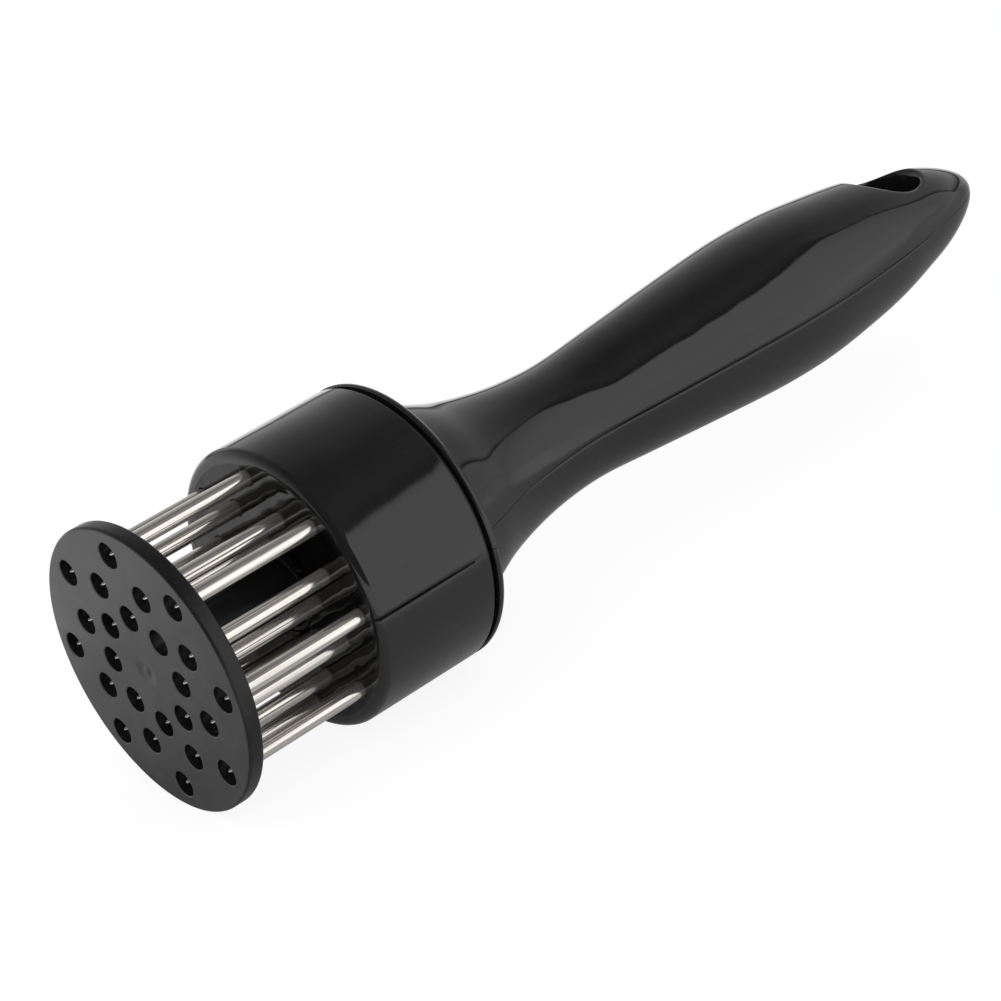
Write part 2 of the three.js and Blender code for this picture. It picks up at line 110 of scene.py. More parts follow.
# The second hole of the inner ring has no needle. A needle has the number of its hole.
EMPTY_HOLE = 2
PLATE_SCREW_CIRCLE = ring_radius("plate_screw_1")
MOUNT_SCREW_CIRCLE = ring_radius("mount_screw_1")
SCREWS_PER_CIRCLE = 4

# Needles and the holes that they pass through
NEEDLE_RADIUS = 1.43
NEEDLE_HEAD_RADIUS = 1.95
NEEDLE_HEAD_THICKNESS = 1.4
NEEDLE_HEAD_CHAMFER = 0.25
NEEDLE_POINT = 4.2
# The point is ground in short cones, so it swells slightly, and its tip is blunted. Each pair is a share of
# the point's length and of the radius.
NEEDLE_POINT_SHAPE = [(0.0, 0.045), (0.04, 0.16), (0.45, 0.62), (0.86, 0.95), (1.0, 1.0)]
GUARD_HOLE_RADIUS = 2.35
DRUM_HOLE_RADIUS = 1.6
PLATE_HOLE_RADIUS = 1.73
PLATE_HOLE_LIP = 0.1
# How far the cutters of the holes reach past the faces
HOLE_CLEARANCE = 1.0

# Drum, bush and plates
BUSH_BORE = 6.55
BUSH_RADIUS = 7.35
BUSH_HOLE = 7.65
DRUM_WALL = 1.8
DRUM_FRONT_WALL = 3.0
DRUM_BORE = HEAD_RADIUS - DRUM_WALL
SNAP_GROOVE = 0.7
# The flat of the drum's front is sunk this much inside this radius
FACE_DEPTH = 0.03
FACE_RADIUS = 23.6
# Distances from the drum's back between which its moulding line fades
LINE_FADE_START = 8.0
LINE_FADE_END = 3.0
MOUNT_PLATE_THICKNESS = 2.8
COLLAR_WALL = 3.6
COLLAR_RADIUS = DRUM_BORE - 0.35
BEAD_RADIUS = DRUM_BORE + 0.4
BEAD_WIDTH = 2.0
RIM_RADIUS = HEAD_RADIUS - 1.0
RIM_THICKNESS = 0.55
PASSAGE_RADIUS = 9.3
# Play between parts that seat on each other
PLAY = 0.3

# Post, clip and spring
POST_BORE = 2.8
POST_BORE_DEPTH = 30.4
CLIP_GROOVE = 0.9
CLIP_BITE = 0.6
CLIP_SLOT = 3.2
ROD_RADIUS = 2.5
ROD_POINT_RADIUS = 1.5
ROD_HEAD_THICKNESS = 1.8
SEAT_BORE = 2.8
SEAT_NECK_RADIUS = 5.6
SEAT_FLANGE = 1.2
SEAT_RECESS_RADIUS = 4.7
SEAT_RECESS_DEPTH = 2.4
SPRING_WIRE = 0.6
# The wire is made a little thinner than that, by this factor
SPRING_WIRE_SHARE = 0.98
SPRING_TURNS = 9.0
SPRING_CLOSED_SHARE = 0.11
# Points along one turn of the wire
SPRING_POINTS = 48

# Screws
SCREW_BORE = 1.55
SCREW_RADIUS = 1.25
SCREW_HEAD_RADIUS = 2.4
SCREW_HEAD_HEIGHT = 1.8
SCREW_RECESS_RADIUS = 1.2
SCREW_RECESS_DEPTH = 1.0
SCREW_BOSS_RADIUS = 2.05
SCREW_BOSS_HEIGHT = 3.0
# A boss starts this far inside its wall, and a pilot hole goes on this far past the screw's point
BOSS_OVERLAP = 1.0
PILOT_SPARE = 0.7

# Handle
SHELL_WALL = 2.2
HOLLOW_START = SHELL_LOW.y + 3.2
HOLLOW_END = 194.6
LEDGE_START = 100.29
LEDGE_END = 102.89
FLANGE_THICKNESS = 1.45
FLANGE_FRONT_EDGE = 0.35
FLANGE_BACK_EDGE = 1.0
# The root leaves the flange at this radius, and its curve reaches this far along the flange and the grip
ROOT_RADIUS = 23.6
ROOT_REACH_FLANGE = 2.6
ROOT_REACH_GRIP = 2.2
# Handle outline, place along the axis and radius, measured in the photograph
GRIP_STATIONS = [
    (59.5, 19.41), (64.0, 17.71), (68.0, 16.06), (72.0, 14.76), (76.0, 13.74), (80.0, 12.93),
    (84.0, 12.33), (88.0, 11.93), (92.0, 11.71), (96.0, 11.70), (100.0, 11.92), (104.0, 12.26),
    (112.0, 12.94), (120.0, 13.62), (128.0, 14.26), (136.0, 14.86), (142.0, 15.18), (148.0, 15.28),
    (154.0, 15.14), (160.0, 14.68), (166.0, 14.02), (172.0, 13.25), (178.0, 12.18), (184.0, 10.80),
    (189.0, 9.56), (193.0, 8.35), (197.0, 6.77), (200.5, 5.0), (203.4, 2.9),
]
GRIP_TIP = SHELL_HIGH.y
SEAM_HALF_GAP = 0.05
# The groove between the halves deepens from these places towards the middle, and is whole after this stretch.
# The least share of its depth stays at both ends. Inside the calm radius, at the tip, it fades out.
SEAM_ROOT = 66.0
SEAM_TIP = 196.0
SEAM_FADE = 22.0
SEAM_LEAST = 0.15
SEAM_CALM_RADIUS = 3.0
PEG_PLACES = (115.34, 158.72)
PEG_BOSS_RADIUS = 3.2
PEG_RADIUS = 1.6
PEG_REACH = 3.6
PEG_HOLE_RADIUS = 1.9
PEG_HOLE_DEPTH = 3.9
HANDLE_BOSS_RADIUS = 3.0
HANDLE_BOSS_LENGTH = 8.0
HANDLE_PILOT_DEPTH = 7.2

# Hanging hole: its bore, and a mouth that opens in a cone above a height
HANG_HOLE_Y = 184.16
HANG_BORE = 6.4
HANG_MOUTH_Z = 7.7
HANG_MOUTH_SLOPE = math.tan(math.radians(30))
# Rounding of the mouth's edge, and how much further it reaches inwards on the side of the root
HANG_EDGE = 0.75
HANG_EDGE_TO_ROOT = 2.6
# The patch of skin that is worked round the hole: its places along the axis, and its columns on each side
HANG_PATCH_START = 170.0
HANG_PATCH_END = 196.6
HANG_PATCH_COLUMNS = 24


# Meshes

# Points that are closer than this are one point
SAME_POINT = 1e-5
# A row of a turned mesh with a smaller radius than this is a single point on the axis
POLE_RADIUS = 1e-6
# How far a cutter stands out of what it cuts
BEYOND = 2.0
# Sides of round things, from the large ones that are seen to the small ones inside
DISC_SIDES = 192
COLLAR_SIDES = 160
PLATE_SIDES = 128
TURNED_SIDES = 96
PIN_SIDES = 64
HOLE_SIDES = 56
NEEDLE_SIDES = 48
SLEEVE_SIDES = 48
ROD_SIDES = 32
SCREW_HOLE_SIDES = 24


def new_object(name, mesh):
    thing = bpy.data.objects.new(name, mesh)
    bpy.context.scene.collection.objects.link(thing)
    return thing


def baked(name, thing, helpers=()):
    """Plain mesh of an object with its modifiers. The object and its helpers are removed."""
    graph = bpy.context.evaluated_depsgraph_get()
    graph.update()
    result = bpy.data.meshes.new_from_object(thing.evaluated_get(graph), depsgraph=graph)
    result.name = name
    for used in (thing, *helpers):
        mesh = used.data
        bpy.data.objects.remove(used, do_unlink=True)
        if mesh.users == 0:
            bpy.data.meshes.remove(mesh)
    if not result.polygons:
        raise RuntimeError(f"{name}: the modifiers left no faces")
    return result


def mesh_from(name, points, faces):
    """Closed mesh in millimetres, with its doubles merged and its faces turned outwards."""
    mesh = bpy.data.meshes.new(name)
    work = bmesh.new()
    made = [work.verts.new(point) for point in points]
    for face in faces:
        corners = []
        for index in face:
            if made[index] not in corners:
                corners.append(made[index])
        if len(corners) > 2:
            work.faces.new(corners)
    bmesh.ops.remove_doubles(work, verts=work.verts, dist=SAME_POINT)
    bmesh.ops.recalc_face_normals(work, faces=work.faces)
    work.to_mesh(mesh)
    work.free()
    return mesh


def rounded(corners, steps):
    """Outline of (radius, place, fillet) corners to (radius, place) rows, each fillet an arc."""
    rows = []
    last = len(corners) - 1
    for index, (radius, place, fillet) in enumerate(corners):
        here = Vector((radius, place))
        if fillet <= 0 or index in (0, last):
            rows.append((radius, place))
            continue
        before = Vector(corners[index - 1][:2]) - here
        after = Vector(corners[index + 1][:2]) - here
        before.normalize()
        after.normalize()
        turn = before.angle(after)
        reach = fillet / math.tan(turn / 2)
        centre = here + (before + after).normalized() * (fillet / math.sin(turn / 2))
        start = here + before * reach - centre
        end = here + after * reach - centre
        for step in range(steps + 1):
            spoke = start.lerp(end, step / steps)
            spoke.normalize()
            spoke *= fillet
            rows.append((centre.x + spoke.x, centre.y + spoke.y))
    return rows


def even_angles(count):
    return [2 * math.pi * index / count for index in range(count)]


# Distances from the parting plane of the columns beside it, and the widest angle between two of them
PARTING_OFFSETS = (0.0, 0.05, 0.1, 0.15, 0.21, 0.29, 0.42, 0.75)
PARTING_STEP = 0.035
# Even columns in a quarter of the drum and of the handle, between the close ones
DRUM_BETWEEN = 60
GRIP_BETWEEN = 34


def parting_angles(radius, between):
    """Angles round the axis: close columns on both sides of the parting plane z = 0, even ones between."""
    quarter = []
    for index, offset in enumerate(PARTING_OFFSETS):
        quarter.append(min(math.asin(min(offset / radius, 1.0)), PARTING_STEP * index))
    first = quarter[-1]
    quarter += [first + (math.pi / 2 - first) * step / between for step in range(1, between + 1)]
    half = quarter + [math.pi - angle for angle in reversed(quarter[:-1])]
    return half + [2 * math.pi - angle for angle in reversed(half[1:-1])]


def groove_dip(depth, width, z):
    """Depth of a soft groove along the parting plane, at a height over it."""
    return depth * math.exp(-((z / width) ** 2))


def turned_mesh(name, rows, angles, ring=False, dip=None):
    """Revolved about the tool's axis. dip(radius, place, z) is how far a point is pushed inwards."""
    points = []
    starts = []
    for radius, place in rows:
        starts.append(len(points))
        if radius < POLE_RADIUS:
            points.append((0.0, place, 0.0))
            continue
        for angle in angles:
            sunk = dip(radius, place, radius * math.sin(angle)) if dip else 0.0
            reach = radius - sunk
            points.append((reach * math.cos(angle), place, reach * math.sin(angle)))
    count = len(angles)
    faces = []
    pairs = list(zip(range(len(rows) - 1), range(1, len(rows))))
    if ring:
        pairs.append((len(rows) - 1, 0))
    for a, b in pairs:
        for index in range(count):
            after = (index + 1) % count
            if rows[a][0] < POLE_RADIUS:
                faces.append((starts[a], starts[b] + index, starts[b] + after))
            elif rows[b][0] < POLE_RADIUS:
                faces.append((starts[a] + index, starts[a] + after, starts[b]))
            else:
                faces.append((starts[a] + index, starts[a] + after, starts[b] + after, starts[b] + index))
    return mesh_from(name, points, faces)


def lathed(name, corners, sides, steps, ring=False):
    """Turned piece from the corners of its outline, which is closed for a ring."""
    return turned_mesh(name, rounded(corners, steps), even_angles(sides), ring)


def rod_mesh(name, radius, start, end, sides, centre=(0.0, 0.0)):
    """Round bar along the tool's axis or beside it."""
    mesh = turned_mesh(name, [(0, start), (radius, start), (radius, end), (0, end)], even_angles(sides))
    mesh.transform(Matrix.Translation((centre[0], 0, centre[1])))
    return mesh


def cross_rod_mesh(name, radius, place, low, high, sides):
    """Round bar along Z, through the axis at a place along it."""
    mesh = rod_mesh(name, radius, low, high, sides)
    mesh.transform(Matrix.Translation((0, place, 0)) @ Matrix.Rotation(math.radians(90), 4, "X"))
    return mesh


def block_mesh(name, low, high):
    corners = [(x, y, z) for x in (low[0], high[0]) for y in (low[1], high[1]) for z in (low[2], high[2])]
    faces = [(0, 1, 3, 2), (4, 6, 7, 5), (0, 4, 5, 1), (2, 3, 7, 6), (0, 2, 6, 4), (1, 5, 7, 3)]
    return mesh_from(name, corners, faces)


def screw_rods(name, radius, start, end, sides, circle=PLATE_SCREW_CIRCLE, start_share=0.0):
    """A bar at each screw of a circle: a boss, a pocket or a hole."""
    rods = []
    for index in range(SCREWS_PER_CIRCLE):
        angle = 2 * math.pi * (index + start_share) / SCREWS_PER_CIRCLE
        centre = (circle * math.sin(angle), circle * math.cos(angle))
        rods.append(rod_mesh(name, radius, start, end, sides, centre))
    return rods


def mount_rods(name, radius, start, end, sides):
    """The same for the mounting screws, which stand between the plate screws."""
    return screw_rods(name, radius, start, end, sides, MOUNT_SCREW_CIRCLE, 0.5)


def combine(name, body, cutters, operation):
    """Boolean of a mesh with others. The meshes are used up, and the result is a new mesh."""
    thing = new_object(name, body)
    helpers = []
    for index, cutter in enumerate(cutters):
        helper = new_object(f"{name}_cutter_{index}", cutter)
        helpers.append(helper)
        modifier = thing.modifiers.new(f"cut_{index}", "BOOLEAN")
        modifier.operation = operation
        modifier.solver = "MANIFOLD"
        modifier.object = helper
    return baked(name, thing, helpers)


# Edges that turn more than this stay sharp, with a value of its own for the spring's wire
SHARP_DEGREES = 28.0
SHARP_WIRE_DEGREES = 40.0


def finish_piece(name, mesh, material, body, replaced, sharp_degrees=SHARP_DEGREES, accents=()):
    """Makes the finished piece from a mesh in millimetres: metres, shading, material, its place in the frame.

    Each accent is a further material and a test of a face's middle and normal that says where it goes.
    """
    mesh.transform(Matrix.Scale(MM, 4))
    mesh.materials.clear()
    mesh.materials.append(material)
    for polygon in mesh.polygons:
        polygon.material_index = 0
    for index, (accent, chosen) in enumerate(accents, 1):
        mesh.materials.append(accent)
        for polygon in mesh.polygons:
            if chosen(polygon.center / MM, polygon.normal):
                polygon.material_index = index
    mesh.shade_smooth()
    mesh.set_sharp_from_angle(angle=math.radians(sharp_degrees))
    mesh.update()
    piece = new_object(name, mesh)
    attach(piece, body)
    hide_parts(*replaced)
    return piece


# Node trees


class Signal:
    """Output of a node. Arithmetic with it adds a Math node to the same tree."""

    def __init__(self, web, socket):
        self.web = web
        self.socket = socket

    def __add__(self, other):
        return self.web.math("ADD", self, other)

    def __sub__(self, other):
        return self.web.math("SUBTRACT", self, other)

    def __rsub__(self, other):
        return self.web.math("SUBTRACT", other, self)

    def __mul__(self, other):
        return self.web.math("MULTIPLY", self, other)

    def __truediv__(self, other):
        return self.web.math("DIVIDE", self, other)


class NodeWeb:
    """A node tree, with short ways to add nodes to it."""

    def __init__(self, tree):
        self.tree = tree

    def link(self, source, target):
        """Links a signal to an input socket, or sets the socket to a value."""
        if isinstance(source, Signal):
            self.tree.links.new(source.socket, target)
        else:
            target.default_value = source

    def node(self, kind, inputs=None, **settings):
        """A new node, with signals or values in its inputs, by name or number."""
        made = self.tree.nodes.new(kind)
        for key, value in settings.items():
            setattr(made, key, value)
        for key, source in (inputs or {}).items():
            self.link(source, made.inputs[key])
        return made

    def signal(self, kind, inputs=None, output=0, **settings):
        """One output of a new node."""
        return Signal(self, self.node(kind, inputs, **settings).outputs[output])

    def signals(self, kind, inputs=None, **settings):
        """All outputs of a new node, by name."""
        made = self.node(kind, inputs, **settings)
        return {socket.name: Signal(self, socket) for socket in made.outputs}

    def math(self, operation, *values, clamp=False):
        inputs = dict(enumerate(values))
        return self.signal("ShaderNodeMath", inputs, operation=operation, use_clamp=clamp)

    def larger(self, first, second):
        return self.math("MAXIMUM", first, second)

    def ramp(self, value, low, high, **settings):
        """0 below low, 1 above high."""
        inputs = {"Value": value, "From Min": low, "From Max": high}
        return self.signal("ShaderNodeMapRange", inputs, "Result", clamp=True, **settings)

    def below(self, value, limit, softness):
        """1 where the value is below the limit, with a soft edge."""
        return self.ramp(value, limit + softness, limit - softness)

    def axes(self, vector):
        """The x, y and z of a vector."""
        return self.signals("ShaderNodeSeparateXYZ", {0: vector}).values()

    def noise(self, vector, scale, detail, roughness):
        inputs = {"Vector": vector, "Scale": scale, "Detail": detail, "Roughness": roughness}
        return self.signal("ShaderNodeTexNoise", inputs, "Fac")

    def stretched(self, vector, scale, rotation=(0.0, 0.0, 0.0)):
        inputs = {"Vector": vector, "Scale": scale, "Rotation": rotation}
        return self.signal("ShaderNodeMapping", inputs)

    def mix_shader(self, mask, first, second):
        return self.signal("ShaderNodeMixShader", {0: mask, 1: first, 2: second})


class NodeGroup(NodeWeb):
    """A node group under construction, with named inputs and outputs."""

    def __init__(self, name, kind):
        super().__init__(bpy.data.node_groups.new(name, kind))
        self.identifiers = {}
        self.source = self.tree.nodes.new("NodeGroupInput")
        self.sink = self.tree.nodes.new("NodeGroupOutput")

    def add_input(self, name, kind, default=None):
        socket = self.tree.interface.new_socket(name=name, in_out="INPUT", socket_type=kind)
        if default is not None:
            socket.default_value = default
        self.identifiers[name] = socket.identifier
        return Signal(self, self.source.outputs[name])

    def numbers(self, **defaults):
        """Inputs named like the keywords. A whole default makes an input for whole numbers."""
        made = []
        for key, default in defaults.items():
            kind = "NodeSocketInt" if isinstance(default, int) else "NodeSocketFloat"
            made.append(self.add_input(key.replace("_", " "), kind, default))
        return made

    def add_output(self, name, signal, kind="NodeSocketFloat"):
        self.tree.interface.new_socket(name=name, in_out="OUTPUT", socket_type=kind)
        self.link(signal, self.sink.inputs[name])


# Geometry node trees

# Turns what stands along Z to lie along the tool's axis
ALONG_AXIS = (math.radians(-90), 0.0, 0.0)
# Points of one piece that are closer than this are merged
MERGE_DISTANCE = 1e-4
# How far a chamfer's cutter reaches out of the face
CHAMFER_REACH = 1.0


class GeometryTree(NodeGroup):
    """A geometry node tree for sizes in millimetres."""

    def __init__(self, name):
        super().__init__(name, "GeometryNodeTree")
        self.base = self.add_input("Geometry", "NodeSocketGeometry")

    def vector(self, x, y, z):
        return self.signal("ShaderNodeCombineXYZ", {0: x, 1: y, 2: z})

    def moved(self, geometry, rotation=(0.0, 0.0, 0.0), translation=(0.0, 0.0, 0.0)):
        inputs = {"Geometry": geometry, "Rotation": rotation, "Translation": translation}
        return self.signal("GeometryNodeTransform", inputs)

    def joined(self, parts):
        made = self.node("GeometryNodeJoinGeometry")
        for part in reversed(parts):
            self.link(part, made.inputs[0])
        return Signal(self, made.outputs[0])

    def united(self, parts):
        made = self.node("GeometryNodeMeshBoolean", operation="UNION", solver="MANIFOLD")
        for part in parts:
            self.link(part, made.inputs["Mesh 2"])
        return Signal(self, made.outputs[0])

    def cut(self, geometry, cutters):
        inputs = {"Mesh 1": geometry, "Mesh 2": cutters}
        return self.signal("GeometryNodeMeshBoolean", inputs, operation="DIFFERENCE", solver="MANIFOLD")

    def ring_points(self, radius, count, turn):
        """Points on a ring round the tool's axis, the first one turned from +Z towards +X."""
        inputs = {"Vertices": count, "Radius": radius}
        circle = self.signal("GeometryNodeMeshCircle", inputs, fill_type="NONE")
        return self.moved(self.moved(circle, ALONG_AXIS), (0.0, turn - math.radians(90), 0.0))

    def hole_pattern(self):
        """Points of the three rings of holes, the middle ring turned by half a step."""
        radii = self.numbers(Ring_1_Radius=10.0, Ring_2_Radius=16.0, Ring_3_Radius=21.5)
        count, = self.numbers(Holes_per_Ring=8)
        half_step = math.pi / NEEDLES_PER_RING
        turns = (0.0, half_step, 0.0)
        return self.joined([self.ring_points(radius, count, turn) for radius, turn in zip(radii, turns)])

    def placed(self, points, instance, selection=True):
        """Real copies of the instance on the points."""
        inputs = {"Points": points, "Instance": instance, "Selection": selection}
        copies = self.signal("GeometryNodeInstanceOnPoints", inputs)
        return self.signal("GeometryNodeRealizeInstances", {0: copies})

    def bar(self, start_radius, end_radius, start, end, sides):
        """Round bar or cone along the tool's axis between two places."""
        inputs = {
            "Vertices": sides,
            "Radius Top": end_radius,
            "Radius Bottom": start_radius,
            "Depth": self.math("SUBTRACT", end, start),
        }
        cone = self.signal("GeometryNodeMeshCone", inputs, fill_type="NGON")
        return self.moved(self.moved(cone, ALONG_AXIS), translation=self.vector(0.0, start, 0.0))

    def finish(self, geometry):
        """Ends the tree in real geometry with the material that its last input names."""
        material = self.add_input("Material", "NodeSocketMaterial")
        real = self.signal("GeometryNodeRealizeInstances", {0: geometry})
        painted = self.signal("GeometryNodeSetMaterial", {"Geometry": real, "Material": material})
        self.add_output("Geometry", painted, "NodeSocketGeometry")
        return self


def grown(name, tree, values, base=None):
    """Runs a geometry node tree on a mesh and gives back a plain mesh, in millimetres."""
    thing = new_object(name, base or bpy.data.meshes.new(name))
    modifier = thing.modifiers.new("grow", "NODES")
    modifier.node_group = tree.tree
    for key, value in values.items():
        modifier[tree.identifiers[key]] = value
    return baked(name, thing)


@cache
def perforation_tree():
    """Cuts the pattern of round holes, with a small chamfer at both faces, into the mesh it is put on."""
    tree = GeometryTree("Perforation in rings")
    points = tree.hole_pattern()
    hole, lip, front, back, over = tree.numbers(Hole_Radius=2.0, Lip=0.2, Front=0.0, Back=3.0, Clearance=1.0)
    sides, = tree.numbers(Sides=48)
    wide = hole + lip + CHAMFER_REACH
    cutters = (
        tree.bar(hole, hole, front - over, back + over, sides),
        tree.bar(wide, hole, front - CHAMFER_REACH, front + lip, sides),
        tree.bar(hole, wide, back - lip, back + CHAMFER_REACH, sides),
    )
    pierced = tree.base
    for cutter in cutters:
        pierced = tree.cut(pierced, tree.placed(points, cutter))
    return tree.finish(pierced)


@cache
def needle_tree():
    """Needles in the pattern of holes: ground point, shank and upset head. One hole stays empty."""
    tree = GeometryTree("Needles in rings")
    points = tree.hole_pattern()
    shank, head, tip, point = tree.numbers(Shank_Radius=1.4, Head_Radius=1.95, Tip=0.5, Point_Length=4.2)
    seat, end, sides, empty = tree.numbers(Head_Seat=38.0, End=39.5, Sides=40, Empty_Hole=2)
    sections = []
    for (from_share, from_width), (to_share, to_width) in zip(NEEDLE_POINT_SHAPE, NEEDLE_POINT_SHAPE[1:]):
        start = tip + point * from_share
        sections.append((shank * from_width, shank * to_width, start, tip + point * to_share))
    chamfer = end - NEEDLE_HEAD_CHAMFER
    sections.append((shank, shank, tip + point, seat))
    sections.append((head, head, seat, chamfer))
    sections.append((head, head - NEEDLE_HEAD_CHAMFER, chamfer, end))
    whole = tree.bar(*sections[0], sides)
    for section in sections[1:]:
        whole = tree.united([whole, tree.bar(*section, sides)])
    needle = tree.signal("GeometryNodeMergeByDistance", {"Geometry": whole, "Distance": MERGE_DISTANCE})
    number = tree.signal("GeometryNodeInputIndex") + 1.0
    filled = tree.math("GREATER_THAN", tree.math("ABSOLUTE", number - empty), 0.5)
    return tree.finish(tree.placed(points, needle, filled))


# Distance between touching turns of the spring, in wire radii
COIL_TOUCH = 2.1
# Share of the closed coils over which the rise starts, and the share of the rise that is even all along
COIL_EASE = 0.6
COIL_EVEN = 0.55
WIRE_SIDES = 14


@cache
def coil_tree():
    """Compression spring along the tool's axis, with closed coils at its ends."""
    tree = GeometryTree("Compression spring")
    radius, wire, start, end = tree.numbers(Coil_Radius=7.4, Wire_Radius=0.6, Start=0.0, End=40.0)
    turns, resolution, closed = tree.numbers(Turns=9.0, Resolution=48, Closed_Share=0.11)
    spiral = tree.signal("GeometryNodeCurveSpiral", {
        "Resolution": resolution,
        "Rotations": turns,
        "Start Radius": radius,
        "End Radius": radius,
        "Height": 1.0,
    })
    upright = tree.moved(spiral, ALONG_AXIS)
    # The height runs from 0 to 1 along the coil. The end coils keep only a wire's rise for each turn.
    x, share, z = tree.axes(tree.signal("GeometryNodeInputPosition"))
    length = end - start
    flat_rise = wire * COIL_TOUCH * (turns * closed) / length * 2.0
    ease = closed * COIL_EASE
    eased = tree.ramp(share, ease, 1.0 - ease, interpolation_type="SMOOTHSTEP")
    rise = share * flat_rise + eased * (1.0 - flat_rise)
    place = (share * COIL_EVEN + rise * (1.0 - COIL_EVEN)) * length + start
    inputs = {"Geometry": upright, "Position": tree.vector(x, place, z)}
    path = tree.signal("GeometryNodeSetPosition", inputs)
    inputs = {"Resolution": WIRE_SIDES, "Radius": wire}
    section = tree.signal("GeometryNodeCurvePrimitiveCircle", inputs, mode="RADIUS")
    inputs = {"Curve": path, "Profile Curve": section, "Fill Caps": True}
    return tree.finish(tree.signal("GeometryNodeCurveToMesh", inputs))


# Proportions of a screw: the head's rounded edge in head heights, the thread's root in shank radii, half a
# thread's width in pitches and the point's end in root radii. The point's length is in millimetres.
SCREW_EDGE = 0.35
SCREW_ROOT = 0.78
SCREW_RIDGE = 0.3
SCREW_FLAT = 0.4
SCREW_POINT = 0.9
# The shank starts this far inside the head, so that the two join
SCREW_OVERLAP = 0.05
HEAD_SIDES = 40
SHANK_SIDES = 24
HEXAGON = 6


@cache
def screw_tree():
    """Screws on a circle: button head with a hexagon recess, and a shank with a rolled thread."""
    tree = GeometryTree("Screws on a circle")
    circle, count, shank, head = tree.numbers(Circle_Radius=15.0, Count=4, Shank_Radius=1.25, Head_Radius=2.4)
    head_height, length, pitch = tree.numbers(Head_Height=1.8, Length=8.0, Thread_Pitch=0.8)
    recess, recess_depth = tree.numbers(Recess_Radius=1.15, Recess_Depth=1.0)
    seat, turn, flip = tree.numbers(Seat=42.0, Turn=0.0, Flip=0.0)
    edge = head_height * SCREW_EDGE
    top = head_height * -1.0
    shoulder = top + edge
    root = shank * SCREW_ROOT
    point = length - SCREW_POINT
    hexagon = tree.bar(recess, recess, top - CHAMFER_REACH, top + recess_depth, HEXAGON)
    solid = tree.united([
        tree.cut(tree.bar(head - edge, head, top, shoulder, HEAD_SIDES), hexagon),
        tree.cut(tree.bar(head, head, shoulder, 0.0, HEAD_SIDES), hexagon),
        tree.bar(root, root, -SCREW_OVERLAP, point, SHANK_SIDES),
        tree.bar(root, root * SCREW_FLAT, point, length, SHANK_SIDES),
    ])
    # The thread is a row of thin double cones, one for each turn
    ridge = tree.joined([
        tree.bar(root, shank, pitch * -SCREW_RIDGE, 0.0, SHANK_SIDES),
        tree.bar(shank, root, 0.0, pitch * SCREW_RIDGE, SHANK_SIDES),
    ])
    step = tree.vector(0.0, pitch, 0.0)
    turns = tree.math("FLOOR", (point - pitch) / pitch)
    inputs = {"Count": turns, "Offset": step, "Start Location": step}
    row = tree.signal("GeometryNodeMeshLine", inputs, mode="OFFSET")
    screw = tree.joined([solid, tree.placed(row, ridge)])
    aimed = tree.moved(screw, tree.vector(flip, 0.0, 0.0), tree.vector(0.0, seat, 0.0))
    points = tree.moved(tree.ring_points(circle, count, 0.0), tree.vector(0.0, turn, 0.0))
    return tree.finish(tree.placed(points, aimed))


# The handle

ROOT_STEPS = 14
FLANGE_STEPS = 6
GRIP_STEPS = 230
# Samples of the outline from which radii are read
GRIP_SAMPLES = 1600
HOLLOW_STEPS = 40
HOLLOW_SIDES = 72


def spline_slopes(heights, knots, start_slope, end_slope):
    """Slopes at the knots of a cubic spline with both end slopes given, by Thomas' method."""
    count = len(knots)
    low = [0.0] * count
    main = [1.0] * count
    high = [0.0] * count
    right = [start_slope] + [0.0] * (count - 2) + [end_slope]
    for index in range(1, count - 1):
        before = knots[index] - knots[index - 1]
        after = knots[index + 1] - knots[index]
        low[index] = after
        main[index] = 2 * (before + after)
        high[index] = before
        rise_before = (heights[index] - heights[index - 1]) / before
        rise_after = (heights[index + 1] - heights[index]) / after
        right[index] = 3 * (after * rise_before + before * rise_after)
    for index in range(1, count):
        factor = low[index] / main[index - 1]
        main[index] -= factor * high[index - 1]
        right[index] -= factor * right[index - 1]
    slopes = [0.0] * count
    slopes[-1] = right[-1] / main[-1]
    for index in range(count - 2, -1, -1):
        slopes[index] = (right[index] - high[index] * slopes[index + 1]) / main[index]
    return slopes


def spline_through(points, start_slope, end_slope, samples):
    """Smooth curve through (radius, place) points, with a given direction at both ends."""
    knots = [0.0]
    for before, after in zip(points, points[1:]):
        knots.append(knots[-1] + math.dist(before, after))
    axes = list(zip(*points))
    slopes = [spline_slopes(axes[axis], knots, start_slope[axis], end_slope[axis]) for axis in (0, 1)]
    curve = []
    for sample in range(samples + 1):
        along = knots[-1] * sample / samples
        index = 0
        while index < len(points) - 2 and along > knots[index + 1]:
            index += 1
        span = knots[index + 1] - knots[index]
        t = (along - knots[index]) / span
        row = []
        for heights, directions in zip(axes, slopes):
            p0, p1 = heights[index], heights[index + 1]
            m0, m1 = directions[index] * span, directions[index + 1] * span
            row.append(
                (2 * t**3 - 3 * t**2 + 1) * p0 + (t**3 - 2 * t**2 + t) * m0
                + (3 * t**2 - 2 * t**3) * p1 + (t**3 - t**2) * m1
            )
        curve.append(tuple(row))
    return curve


def grip_rows(samples):
    """Grip outline from the end of the root fillet to the tip."""
    points = [(radius, place) for place, radius in GRIP_STATIONS]
    points.append((0.0, GRIP_TIP))
    first = (Vector(points[1]) - Vector(points[0])).normalized()
    rows = spline_through(points, tuple(first), (-1.0, 0.0), samples)
    rows[-1] = (0.0, GRIP_TIP)
    return rows


